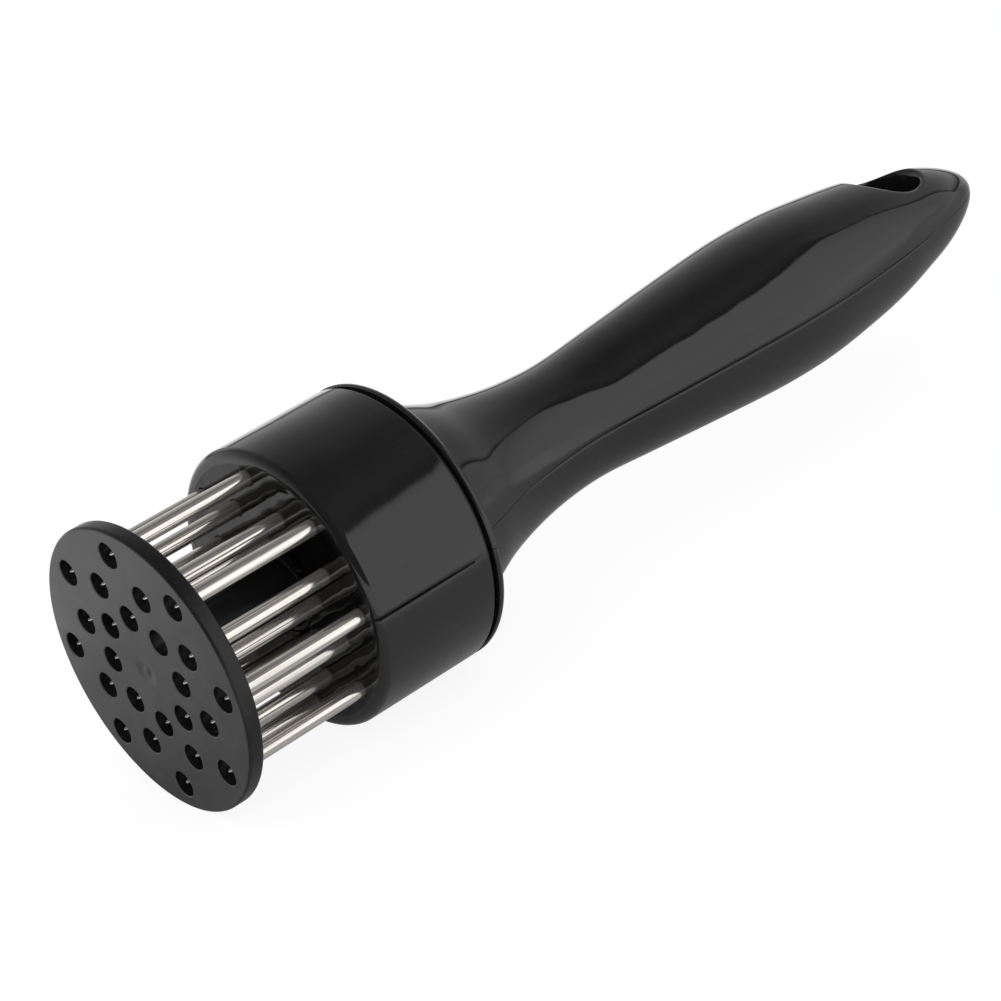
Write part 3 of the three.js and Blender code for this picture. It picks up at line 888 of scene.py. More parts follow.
class GripRadius:
    """Radius of the grip at a place along the axis."""

    def __init__(self):
        self.rows = grip_rows(GRIP_SAMPLES)
        self.places = [place for _, place in self.rows]

    def at(self, place):
        index = min(max(bisect_right(self.places, place) - 1, 0), len(self.rows) - 2)
        r0, y0 = self.rows[index]
        r1, y1 = self.rows[index + 1]
        return r0 + (r1 - r0) * ((place - y0) / (y1 - y0))


def handle_rows():
    """Whole outline of the handle: flange, the curve of its root, and grip."""
    flange_back = SHELL_LOW.y + FLANGE_THICKNESS
    rows = rounded([
        (0.0, SHELL_LOW.y, 0),
        (HEAD_RADIUS, SHELL_LOW.y, FLANGE_FRONT_EDGE),
        (HEAD_RADIUS, flange_back, FLANGE_BACK_EDGE),
        (ROOT_RADIUS, flange_back, 0),
    ], FLANGE_STEPS)
    grip = grip_rows(GRIP_STEPS)
    start = Vector(rows[-1])
    end = Vector(grip[0])
    leave = Vector((start.x - ROOT_REACH_FLANGE, start.y))
    arrive = end - (Vector(grip[1]) - end).normalized() * ROOT_REACH_GRIP
    for step in range(1, ROOT_STEPS):
        t = step / ROOT_STEPS
        point = (1 - t)**3 * start + 3 * (1 - t)**2 * t * leave + 3 * (1 - t) * t**2 * arrive + t**3 * end
        rows.append((point.x, point.y))
    return rows + grip


def seam_share(place):
    """How deep the groove between the halves is at a place: whole along the grip, shallow at the ends."""
    from_root = (place - SEAM_ROOT) / SEAM_FADE
    from_tip = (SEAM_TIP - place) / SEAM_FADE
    return min(1.0, max(SEAM_LEAST, min(from_root, from_tip)))


# Rings of the worked skin round the hanging hole: out on the grip, and over the rounded edge of its mouth
SKIN_RINGS = 11
EDGE_RINGS = 7
# The outermost rings stand this share further apart than even ones would, and the innermost ones closer
SKIN_CROWDING = 0.4
# Heights of the rings in the bore
BORE_HEIGHTS = (HANG_MOUTH_Z - 0.1, 4.0, 0.4)
# The rim is looked for up to this far outside the bore, by halving
RIM_SEARCH = 6.0
RIM_HALVINGS = 40
# Share of the mouth's depth that its edge may take at most
EDGE_MOST = 0.9


def hanging_hole_rings(grip, loop, side):
    """Rings from a loop of points on the grip in to the hanging hole's rim, its mouth and its bore."""
    cone = math.hypot(HANG_MOUTH_SLOPE, 1.0)
    spokes = [math.atan2(place - HANG_HOLE_Y, x) for x, place in loop]

    def at_spoke(reach, spoke):
        return reach * math.cos(spoke), HANG_HOLE_Y + reach * math.sin(spoke)

    def surface(x, place):
        radius = grip.at(place)
        return math.sqrt(max(radius * radius - x * x, 0.0))

    def mouth(reach):
        return HANG_MOUTH_Z + (reach - HANG_BORE) / HANG_MOUTH_SLOPE

    rims = []
    for spoke in spokes:
        low, high = HANG_BORE, HANG_BORE + RIM_SEARCH
        for _ in range(RIM_HALVINGS):
            middle = (low + high) / 2
            if surface(*at_spoke(middle, spoke)) > mouth(middle):
                low = middle
            else:
                high = middle
        rims.append(low)
    rings = []
    for step in range(1, SKIN_RINGS + 1):
        share = step / SKIN_RINGS
        share = share * (1.0 + SKIN_CROWDING - SKIN_CROWDING * share)
        ring = []
        for (x, place), spoke, rim in zip(loop, spokes, rims):
            to_x, to_y = at_spoke(rim + HANG_EDGE, spoke)
            here_x, here_y = x + (to_x - x) * share, place + (to_y - place) * share
            ring.append((here_x, here_y, side * surface(here_x, here_y)))
        rings.append(ring)
    # Over the rounded edge into the mouth, then down the bore
    for step in range(1, EDGE_RINGS + 1):
        t = step / EDGE_RINGS
        ring = []
        for spoke, rim in zip(spokes, rims):
            height = mouth(rim)
            out = rim + HANG_EDGE
            start_z = surface(*at_spoke(out, spoke))
            to_root = max(0.0, -math.sin(spoke))
            fall = min(HANG_EDGE + HANG_EDGE_TO_ROOT * to_root, EDGE_MOST * (height - HANG_MOUTH_Z) * cone)
            inner = rim - fall * HANG_MOUTH_SLOPE / cone
            inner_z = height - fall / cone
            reach = (1 - t)**2 * out + 2 * (1 - t) * t * rim + t * t * inner
            z = (1 - t)**2 * start_z + 2 * (1 - t) * t * height + t * t * inner_z
            ring.append((*at_spoke(reach, spoke), side * z))
        rings.append(ring)
    for z in BORE_HEIGHTS:
        rings.append([(*at_spoke(HANG_BORE, spoke), side * z) for spoke in spokes])
    return rings


def handle_solid(sizes):
    """The whole handle before it is hollowed and split, with the hanging hole worked into its skin."""
    grip = GripRadius()
    rows = handle_rows()
    depth, width = sizes.seam_depth / MM, sizes.seam_width / MM
    columns = len(parting_angles(HEAD_RADIUS, GRIP_BETWEEN))
    first_column = columns // 4 - HANG_PATCH_COLUMNS
    last_column = columns // 4 + HANG_PATCH_COLUMNS
    patch = [i for i, (_, place) in enumerate(rows) if HANG_PATCH_START < place < HANG_PATCH_END]
    first_row, last_row = patch[0], patch[-1]
    points = []
    grid = []
    for radius, place in rows:
        if radius < POLE_RADIUS:
            grid.append([len(points)] * columns)
            points.append((0.0, place, 0.0))
            continue
        calm = seam_share(place) * min(1.0, radius / SEAM_CALM_RADIUS)
        line = []
        for angle in parting_angles(radius, GRIP_BETWEEN):
            reach = radius - groove_dip(depth, width, radius * math.sin(angle)) * calm
            line.append(len(points))
            points.append((reach * math.cos(angle), place, reach * math.sin(angle)))
        grid.append(line)
    faces = []

    def stitch(before, after):
        """Faces between two closed loops of points."""
        for j in range(len(before)):
            k = (j + 1) % len(before)
            faces.append((before[j], before[k], after[k], after[j]))

    for i in range(len(rows) - 1):
        for j in range(columns):
            k = (j + 1) % columns
            top = first_column <= j < last_column
            bottom = columns - last_column <= j < columns - first_column
            if not (first_row <= i < last_row and (top or bottom)):
                faces.append((grid[i][j], grid[i][k], grid[i + 1][k], grid[i + 1][j]))
    bores = []
    for side in (1, -1):
        def column(j):
            return j if side > 0 else (columns - j) % columns
        loop = [grid[first_row][column(j)] for j in range(first_column, last_column)]
        loop += [grid[i][column(last_column)] for i in range(first_row, last_row)]
        loop += [grid[last_row][column(j)] for j in range(last_column, first_column, -1)]
        loop += [grid[i][column(first_column)] for i in range(last_row, first_row, -1)]
        flat = [points[index][:2] for index in loop]
        for ring in hanging_hole_rings(grip, flat, side):
            now = list(range(len(points), len(points) + len(ring)))
            points.extend(ring)
            stitch(loop, now)
            loop = now
        bores.append(loop)
    stitch(*bores)
    return mesh_from("handle_solid", points, faces)


def hollow_mesh(name, start, end):
    """Space inside the handle between two places, a wall's thickness under the skin."""
    grip = GripRadius()
    rows = [(0.0, start)]
    for step in range(HOLLOW_STEPS + 1):
        place = start + (end - start) * step / HOLLOW_STEPS
        rows.append((grip.at(max(place, GRIP_STATIONS[0][0])) - SHELL_WALL, place))
    rows.append((0.0, end))
    return turned_mesh(name, rows, even_angles(HOLLOW_SIDES))


# Half the width and both ends of the block that cuts a half out of the handle
HALF_REACH = 40.0
HALF_START = 40.0
HALF_END = 220.0
# Half the length of the bars that cross the handle's hollow
CROSS_REACH = 30.0
# The screw bosses start here, in front of the handle
HANDLE_BOSS_START = 50.0


def handle_halves(sizes):
    """Both moulded halves of the handle, as meshes."""
    front_end = SHELL_LOW.y
    reach = CROSS_REACH
    bosses = [cross_rod_mesh("sleeve", HANG_BORE + SHELL_WALL, HANG_HOLE_Y, -reach, reach, SLEEVE_SIDES)]
    for place in PEG_PLACES:
        bosses.append(cross_rod_mesh("peg_boss", PEG_BOSS_RADIUS, place, -reach, reach, ROD_SIDES))
    boss_end = HOLLOW_START + HANDLE_BOSS_LENGTH
    screw_bosses = mount_rods("screw_boss", HANDLE_BOSS_RADIUS, HANDLE_BOSS_START, boss_end, ROD_SIDES)
    front = hollow_mesh("front_hollow", HOLLOW_START, LEDGE_START)
    front = combine("front_hollow", front, screw_bosses, "DIFFERENCE")
    back = hollow_mesh("back_hollow", LEDGE_END, HOLLOW_END)
    back = combine("back_hollow", back, bosses, "DIFFERENCE")
    passage = rod_mesh("passage", PASSAGE_RADIUS, front_end - BEYOND, HOLLOW_START + BEYOND, TURNED_SIDES)
    pilot_end = front_end + HANDLE_PILOT_DEPTH
    pilots = mount_rods("pilot", SCREW_BORE, front_end - BEYOND, pilot_end, SCREW_HOLE_SIDES)
    whole = combine("handle_whole", handle_solid(sizes), [front, back, passage] + pilots, "DIFFERENCE")
    reach = HALF_REACH
    top_half = block_mesh("half", (-reach, HALF_START, SEAM_HALF_GAP), (reach, HALF_END, reach))
    bottom_half = block_mesh("half", (-reach, HALF_START, -reach), (reach, HALF_END, -SEAM_HALF_GAP))
    top = combine("handle_top", whole.copy(), [top_half], "INTERSECT")
    bottom = combine("handle_bottom", whole, [bottom_half], "INTERSECT")
    holes = []
    pegs = []
    for place in PEG_PLACES:
        holes.append(cross_rod_mesh("peg_hole", PEG_HOLE_RADIUS, place, -BEYOND, PEG_HOLE_DEPTH, ROD_SIDES))
        pegs.append(cross_rod_mesh("peg", PEG_RADIUS, place, -PEG_REACH, PEG_REACH, ROD_SIDES))
    return combine("handle_top", top, holes, "DIFFERENCE"), combine("handle_bottom", bottom, pegs, "UNION")


# Turned pieces and plates


def pierced(name, blank, hole, lip, front, back, clear, material):
    """Cuts the pattern of needle holes into a blank. Clear is how far the cutters reach past its faces."""
    values = {
        "Ring 1 Radius": NEEDLE_RINGS[0],
        "Ring 2 Radius": NEEDLE_RINGS[1],
        "Ring 3 Radius": NEEDLE_RINGS[2],
        "Holes per Ring": NEEDLES_PER_RING,
        "Hole Radius": hole,
        "Lip": lip,
        "Front": front,
        "Back": back,
        "Clearance": clear,
        "Sides": HOLE_SIDES,
        "Material": material,
    }
    return grown(name, perforation_tree(), values, blank)


def guard_disc_mesh(sizes, material):
    """Guard disc: moulded edge, gate mark in the middle, socket for the post behind, and its holes."""
    front, back = GUARD_LOW.y, GUARD_HIGH.y
    gate = sizes.gate_depth / MM
    edge = sizes.guard_edge / MM
    socket = PLUNGER_RADIUS + PLAY
    socket_end = PLUNGER_LOW.y - PLAY
    blank = lathed("guard_disc", [
        (0.0, front + gate * 0.3, 0),
        (0.5, front + gate * 0.4, 0.3),
        (0.9, front + gate, 0.3),
        (1.3, front + gate, 0.4),
        (2.6, front, 2.0),
        (HEAD_RADIUS, front, edge),
        (HEAD_RADIUS, back, edge * 0.8),
        (socket, back, 0.3),
        (socket, socket_end, 0.2),
        (0.0, socket_end, 0),
    ], DISC_SIDES, 6)
    lip = sizes.guard_hole_lip / MM
    hole = sizes.guard_hole_radius / MM
    return pierced("guard_disc", blank, hole, lip, front, back, HOLE_CLEARANCE, material)


def post_mesh():
    """The hollow post that carries the disc, with the groove of its clip."""
    groove_start, groove_end = CLIP_LOW.y - PLAY, CLIP_HIGH.y + PLAY
    groove = PLUNGER_RADIUS - CLIP_GROOVE
    bore_end = PLUNGER_HIGH.y - POST_BORE_DEPTH
    return lathed("guard_post", [
        (0.0, PLUNGER_LOW.y, 0),
        (PLUNGER_RADIUS, PLUNGER_LOW.y, 0.3),
        (PLUNGER_RADIUS, groove_start, 0.12),
        (groove, groove_start, 0.12),
        (groove, groove_end, 0.12),
        (PLUNGER_RADIUS, groove_end, 0.12),
        (PLUNGER_RADIUS, PLUNGER_HIGH.y, 0.4),
        (POST_BORE, PLUNGER_HIGH.y, 0.3),
        (POST_BORE, bore_end, 0),
        (0.0, bore_end, 0),
    ], TURNED_SIDES, 4)


def clip_mesh():
    """The slotted ring that stops the post."""
    bore = PLUNGER_RADIUS - CLIP_BITE
    outside = CLIP_HIGH.x
    start, end = CLIP_LOW.y, CLIP_HIGH.y
    ring = lathed("post_clip", [
        (bore, start, 0),
        (outside, start, 0.3),
        (outside, end, 0.3),
        (bore, end, 0),
    ], TURNED_SIDES, 3, True)
    slot = block_mesh(
        "slot", (-CLIP_SLOT / 2, start - BEYOND, -outside - BEYOND), (CLIP_SLOT / 2, end + BEYOND, 0))
    return combine("post_clip", ring, [slot], "DIFFERENCE")


def bush_mesh():
    """The flanged bush that guides the post."""
    flange = BACKING_HIGH.y + PLAY
    return lathed("guide_bush", [
        (BUSH_BORE, BUSH_LOW.y, 0),
        (BUSH_RADIUS, BUSH_LOW.y, 0.2),
        (BUSH_RADIUS, flange, 0.15),
        (BUSH_FLANGE_RADIUS, flange, 0.25),
        (BUSH_FLANGE_RADIUS, BUSH_HIGH.y, 0.25),
        (BUSH_BORE, BUSH_HIGH.y, 0),
    ], TURNED_SIDES, 3, True)


def housing_mesh(sizes, material):
    """Drum: rounded front edge, parting line, snap groove, screw bosses and needle holes."""
    front, back = DRUM_LOW.y, DRUM_HIGH.y
    wall = front + DRUM_FRONT_WALL
    groove = DRUM_BORE + SNAP_GROOVE
    groove_start = MOUNT_LOW.y + BEAD_WIDTH - PLAY
    groove_end = MOUNT_LOW.y + 2 * BEAD_WIDTH + PLAY
    # The side is drafted: it gets a little wider towards the back
    rows = rounded([
        (BUSH_HOLE, front + FACE_DEPTH, 0),
        (FACE_RADIUS - FACE_DEPTH, front + FACE_DEPTH, 0),
        (FACE_RADIUS, front, 0),
        (HEAD_RADIUS - 0.1, front, sizes.drum_edge / MM),
        (HEAD_RADIUS - 0.03, back - LINE_FADE_START, 0),
        (HEAD_RADIUS - 0.01, back - LINE_FADE_END, 0),
        (HEAD_RADIUS, back, 0.3),
        (DRUM_BORE, back, 0.25),
        (DRUM_BORE, groove_end, 0.1),
        (groove, groove_end, 0),
        (groove, groove_start, 0),
        (DRUM_BORE, groove_start, 0.1),
        (DRUM_BORE, wall, 0.4),
        (BUSH_HOLE, wall, 0),
    ], 8)
    depth, width = sizes.parting_depth / MM, sizes.parting_width / MM

    def on_the_outside(radius, place, z):
        if radius < DRUM_BORE + 1.0:
            return 0.0
        left = (back - LINE_FADE_END - place) / (LINE_FADE_START - LINE_FADE_END)
        return groove_dip(depth, width, z) * min(max(left, 0.0), 1.0)

    blank = turned_mesh("housing", rows, parting_angles(HEAD_RADIUS, DRUM_BETWEEN), True, on_the_outside)
    boss_end = wall + SCREW_BOSS_HEIGHT
    pilot_start = PLATE_SCREW_LOW.y - PILOT_SPARE
    bosses = screw_rods("boss", SCREW_BOSS_RADIUS, wall - BOSS_OVERLAP, boss_end, ROD_SIDES)
    pilots = screw_rods("pilot", SCREW_BORE, pilot_start, boss_end + BEYOND, SCREW_HOLE_SIDES)
    blank = combine("housing", blank, bosses, "UNION")
    blank = combine("housing", blank, pilots, "DIFFERENCE")
    hole, lip = sizes.drum_hole_radius / MM, sizes.drum_hole_lip / MM
    clear = SCREW_BOSS_HEIGHT + HOLE_CLEARANCE
    return pierced("housing", blank, hole, lip, front, wall, clear, material)


def plate_blank(name, low, high, edge, steps):
    """Flat ring with rounded outer edges, between the corners of its CAD box."""
    outside = high.x
    return lathed(name, [
        (BUSH_HOLE, low.y, 0),
        (outside, low.y, edge),
        (outside, high.y, edge),
        (BUSH_HOLE, high.y, 0),
    ], PLATE_SIDES, steps, True)


def needle_plate_mesh(material):
    """The thick plate that holds the needles, with pockets over the drum's screw bosses."""
    front, back = NEEDLE_PLATE_LOW.y, NEEDLE_PLATE_HIGH.y
    pocket_end = DRUM_LOW.y + DRUM_FRONT_WALL + SCREW_BOSS_HEIGHT + PLAY
    cutters = screw_rods("pocket", SCREW_BOSS_RADIUS + PLAY, front - BEYOND, pocket_end, ROD_SIDES)
    cutters += screw_rods("screw_hole", SCREW_BORE, front - BEYOND, back + BEYOND, SCREW_HOLE_SIDES)
    blank = plate_blank("needle_plate", NEEDLE_PLATE_LOW, NEEDLE_PLATE_HIGH, 0.4, 3)
    blank = combine("needle_plate", blank, cutters, "DIFFERENCE")
    hole, lip = PLATE_HOLE_RADIUS, PLATE_HOLE_LIP
    return pierced("needle_plate", blank, hole, lip, front, back, HOLE_CLEARANCE, material)


def backing_plate_mesh():
    """The steel plate behind the needles' heads."""
    front, back = BACKING_LOW.y - BEYOND, BACKING_HIGH.y + BEYOND
    holes = screw_rods("screw_hole", SCREW_BORE, front, back, SCREW_HOLE_SIDES)
    blank = plate_blank("backing_plate", BACKING_LOW, BACKING_HIGH, 0.2, 2)
    return combine("backing_plate", blank, holes, "DIFFERENCE")


def mounting_plate_mesh():
    """The plate on the handle's flange whose collar and bead the drum snaps over."""
    back = MOUNT_HIGH.y
    plate = back - MOUNT_PLATE_THICKNESS
    rim = back - RIM_THICKNESS
    collar = MOUNT_LOW.y
    bead = collar + BEAD_WIDTH
    bore = COLLAR_RADIUS - COLLAR_WALL
    blank = lathed("mounting_plate", [
        (PASSAGE_RADIUS, plate, 0),
        (bore, plate, 0.4),
        (bore, collar, 0.3),
        (COLLAR_RADIUS, collar, 0.4),
        (COLLAR_RADIUS, bead, 0),
        (BEAD_RADIUS, bead + BEAD_WIDTH / 2, 0.2),
        (COLLAR_RADIUS, bead + BEAD_WIDTH, 0),
        (COLLAR_RADIUS, rim, 0),
        (RIM_RADIUS, rim, 0.1),
        (RIM_RADIUS, back, 0.1),
        (PASSAGE_RADIUS, back, 0),
    ], COLLAR_SIDES, 4, True)
    holes = mount_rods("screw_hole", SCREW_BORE, plate - BEYOND, back + BEYOND, SCREW_HOLE_SIDES)
    return combine("mounting_plate", blank, holes, "DIFFERENCE")


def guide_rod_mesh():
    """The headed pin inside the spring, with a tapered point."""
    head = ROD_HIGH.y - ROD_HEAD_THICKNESS
    return lathed("guide_rod", [
        (0.0, ROD_LOW.y, 0),
        (ROD_POINT_RADIUS, ROD_LOW.y, 0.2),
        (ROD_RADIUS, ROD_LOW.y + 1.0, 0.2),
        (ROD_RADIUS, head, 0.1),
        (ROD_HIGH.x, head, 0.2),
        (ROD_HIGH.x, ROD_HIGH.y, 0.4),
        (0.0, ROD_HIGH.y, 0),
    ], PIN_SIDES, 3)


def spring_seat_mesh():
    """The cup that the spring stands on."""
    flange = SEAT_LOW.y + SEAT_FLANGE
    recess = SEAT_HIGH.y - SEAT_RECESS_DEPTH
    return lathed("spring_seat", [
        (SEAT_BORE, SEAT_LOW.y, 0),
        (SEAT_NECK_RADIUS, SEAT_LOW.y, 0.3),
        (SEAT_NECK_RADIUS, flange, 0.2),
        (SEAT_HIGH.x, flange, 0.3),
        (SEAT_HIGH.x, SEAT_HIGH.y, 0.3),
        (SEAT_RECESS_RADIUS, SEAT_HIGH.y, 0.2),
        (SEAT_RECESS_RADIUS, recess, 0),
        (SEAT_BORE, recess, 0),
    ], TURNED_SIDES, 3, True)


# Finishes

PLASTIC_IOR = 1.5
# Noise textures lie round this value
NOISE_MIDDLE = 0.5


def shade(colour, factor=1.0):
    """A colour with alpha, darker or lighter by a factor."""
    return (colour[0] * factor, colour[1] * factor, colour[2] * factor, 1.0)


class Finish(NodeWeb):
    """A material under construction."""

    def __init__(self, name):
        self.material = bpy.data.materials.new(name)
        self.material.use_nodes = True
        super().__init__(self.material.node_tree)
        self.tree.nodes.clear()
        self.shader = self.node("ShaderNodeBsdfPrincipled")
        self.node("ShaderNodeOutputMaterial", {"Surface": Signal(self, self.shader.outputs[0])})
        coordinates = self.signal("ShaderNodeTexCoord", output="Object")
        self.millimetres = self.stretched(coordinates, (1 / MM, 1 / MM, 1 / MM))

    def group(self, group, **values):
        """The outputs of a shared node group, with this material's values in its inputs."""
        inputs = {"Vector": self.millimetres}
        for key, value in values.items():
            inputs[key.replace("_", " ")] = value
        return self.signals("ShaderNodeGroup", inputs, node_tree=group.tree)

    def blend(self, mask, first, second):
        """The first colour where the mask is 0, the second where it is 1."""
        return self.signal("ShaderNodeMix", {"Factor": mask, 6: first, 7: second}, 2, data_type="RGBA")

    def bump(self, height):
        """Feeds the shader's normal from a height in millimetres."""
        inputs = {"Strength": 1.0, "Distance": MM, "Height": height}
        self.link(self.signal("ShaderNodeBump", inputs), self.shader.inputs["Normal"])

    def set(self, **values):
        for key, value in values.items():
            self.link(value, self.shader.inputs[key.replace("_", " ")])


class ShaderGroup(NodeGroup):
    """A shared shader node group that reads object coordinates in millimetres."""

    def __init__(self, name):
        super().__init__(name, "ShaderNodeTree")
        self.vector = self.add_input("Vector", "NodeSocketVector")


@cache
def moulded_skin_group():
    """Slow sink waves and fine orange peel of a moulded surface, as height in millimetres."""
    tree = ShaderGroup("Moulded skin")
    wave_scale, wave, peel_scale, peel = tree.numbers(Wave_Scale=0.08, Wave=0.02, Peel_Scale=2.0, Peel=0.001)
    slow = tree.noise(tree.vector, wave_scale, detail=1.0, roughness=0.4) - NOISE_MIDDLE
    fine = tree.noise(tree.vector, peel_scale, detail=4.0, roughness=0.55) - NOISE_MIDDLE
    tree.add_output("Height", slow * wave + fine * peel)
    tree.add_output("Cloud", tree.noise(tree.vector, wave_scale * 1.7, detail=5.0, roughness=0.6))
    return tree


# Each set of scratches has a turn and a scale, long in one direction
SCRATCH_SETS = (((0.5, 0.2, 0.35), (0.9, 0.02, 0.9)), ((1.3, 0.7, -0.6), (0.03, 1.1, 0.8)))
SCRATCH_WIDTH = 0.006


@cache
def handling_group():
    """Hairline scratches in two directions, and smudges of handling."""
    tree = ShaderGroup("Handling marks")
    amount, = tree.numbers(Amount=0.5)
    lines = []
    for turn, scale in SCRATCH_SETS:
        streak = tree.noise(tree.stretched(tree.vector, scale, turn), 2.6, detail=2.0, roughness=0.6)
        away = tree.math("ABSOLUTE", streak - NOISE_MIDDLE)
        lines.append(1.0 - tree.ramp(away, 0.0, SCRATCH_WIDTH))
    patches = tree.ramp(tree.noise(tree.vector, 0.22, detail=3.0, roughness=0.6), 0.5, 0.68)
    scratches = tree.math("MULTIPLY", tree.larger(*lines) * patches, amount, clamp=True)
    smudge = tree.ramp(tree.noise(tree.vector, 0.12, detail=6.0, roughness=0.62), 0.48, 0.72)
    tree.add_output("Scratches", scratches)
    tree.add_output("Smudge", smudge)
    return tree


# Specks of dust: how close together their cells are, and the largest speck in cells
DUST_SCALE = 1.1
DUST_SIZE = 0.06


@cache
def dust_group():
    """Sparse specks and lint."""
    tree = ShaderGroup("Dust")
    density, = tree.numbers(Density=0.5)
    cells = tree.signals("ShaderNodeTexVoronoi", {"Vector": tree.vector, "Scale": DUST_SCALE}, feature="F1")
    sizes, picks, _ = tree.signals("ShaderNodeSeparateColor", {0: cells["Color"]}).values()
    speck = tree.math("LESS_THAN", cells["Distance"], sizes * DUST_SIZE)
    tree.add_output("Specks", speck * tree.math("LESS_THAN", picks, density))
    return tree


# Scales of the marks on steel: drawn along the tool's axis, or ground across it
DRAWN_SCALE = (4.5, 0.03, 4.5)
GROUND_SCALE = (0.2, 14.0, 0.2)


@cache
def drawn_steel_group():
    """Lines of drawing or grinding along the tool's axis, and rings of grinding across it."""
    tree = ShaderGroup("Drawn steel")
    along, across = tree.numbers(Along=1.0, Across=0.2)
    drawn = tree.noise(tree.stretched(tree.vector, DRAWN_SCALE), 1.0, detail=4.0, roughness=0.65)
    ground = tree.noise(tree.stretched(tree.vector, GROUND_SCALE), 1.0, detail=2.0, roughness=0.6)
    tree.add_output("Lines", (drawn - NOISE_MIDDLE) * along + (ground - NOISE_MIDDLE) * across)
    tree.add_output("Tint", tree.noise(tree.vector, 0.35, detail=5.0, roughness=0.65))
    return tree


def soiled(finish, clouded, marks, dust, scratch_share, scratch_colour, dust_colour):
    """A colour with pale scratches and specks of dust on it."""
    scratched = finish.blend(marks["Scratches"] * scratch_share, clouded, shade(scratch_colour))
    return finish.blend(dust["Specks"] * 0.5, scratched, shade(dust_colour))


def gloss_plastic(name, base, roughness, wave, wave_scale=0.08, specular=0.5):
    """Polished moulded plastic: slow waves, a few scratches, smudges and dust."""
    finish = Finish(name)
    skin = finish.group(moulded_skin_group(), Wave_Scale=wave_scale, Wave=wave, Peel_Scale=1.6, Peel=0.0012)
    marks = finish.group(handling_group(), Amount=0.55)
    dust = finish.group(dust_group(), Density=0.10)
    clouded = finish.blend(skin["Cloud"], shade(base, 0.85), shade(base, 1.15))
    dusty = soiled(finish, clouded, marks, dust, 0.35, (0.09, 0.09, 0.092), (0.24, 0.235, 0.22))
    rough = marks["Smudge"] * 0.035 + roughness
    rough = rough + marks["Scratches"] * 0.12 + dust["Specks"] * 0.4
    finish.set(Base_Color=dusty, Roughness=rough, IOR=PLASTIC_IOR, Specular_IOR_Level=specular)
    finish.bump(skin["Height"] - marks["Scratches"] * 0.0012)
    return finish.material


def satin_plastic(name, base, roughness, specular=0.5):
    """Fine-grained moulded plastic with mottled patches, more scratches and dust."""
    finish = Finish(name)
    skin = finish.group(moulded_skin_group(), Wave_Scale=0.11, Wave=0.02, Peel_Scale=3.4, Peel=0.012)
    marks = finish.group(handling_group(), Amount=0.8)
    dust = finish.group(dust_group(), Density=0.18)
    mottle = finish.ramp(skin["Cloud"], 0.38, 0.66)
    clouded = finish.blend(mottle, shade(base, 0.8), shade(base, 1.25))
    dusty = soiled(finish, clouded, marks, dust, 0.5, (0.12, 0.12, 0.122), (0.28, 0.27, 0.25))
    rough = mottle * 0.06 + roughness + marks["Smudge"] * -0.05
    finish.set(Base_Color=dusty, Roughness=rough, IOR=PLASTIC_IOR, Specular_IOR_Level=specular)
    finish.bump(skin["Height"] - marks["Scratches"] * 0.004)
    return finish.material


def natural_plastic(name, base, roughness):
    """Uncoloured plastic of the inner parts, slightly greased."""
    finish = Finish(name)
    skin = finish.group(moulded_skin_group(), Wave_Scale=0.15, Wave=0.02, Peel_Scale=2.2, Peel=0.004)
    marks = finish.group(handling_group(), Amount=0.4)
    clouded = finish.blend(skin["Cloud"], shade(base, 0.93), shade(base))
    greased = finish.blend(marks["Smudge"] * 0.25, clouded, shade((0.52, 0.49, 0.42)))
    finish.set(Base_Color=greased, Roughness=roughness - marks["Smudge"] * 0.12, IOR=PLASTIC_IOR)
    finish.bump(skin["Height"])
    return finish.material


def steel(name, base, roughness, along, across, depth, metallic=1.0):
    """Steel with drawn or ground lines of a depth in millimetres, cloudy tint and smudges."""
    finish = Finish(name)
    drawn = finish.group(drawn_steel_group(), Along=along, Across=across)
    marks = finish.group(handling_group(), Amount=0.6)
    streak = finish.ramp(drawn["Lines"], -0.22, 0.12)
    streaked = finish.blend(streak, shade(base, 0.5), shade(base))
    tinted = finish.blend(drawn["Tint"] * 0.3, streaked, shade(base, 0.85))
    dulled = finish.blend(marks["Smudge"] * 0.12, tinted, shade(base, 0.8))
    rough = drawn["Lines"] * 0.09 + roughness + marks["Smudge"] * 0.05
    finish.set(Base_Color=dulled, Metallic=metallic, Roughness=rough)
    finish.bump(drawn["Lines"] * depth)
    return finish.material


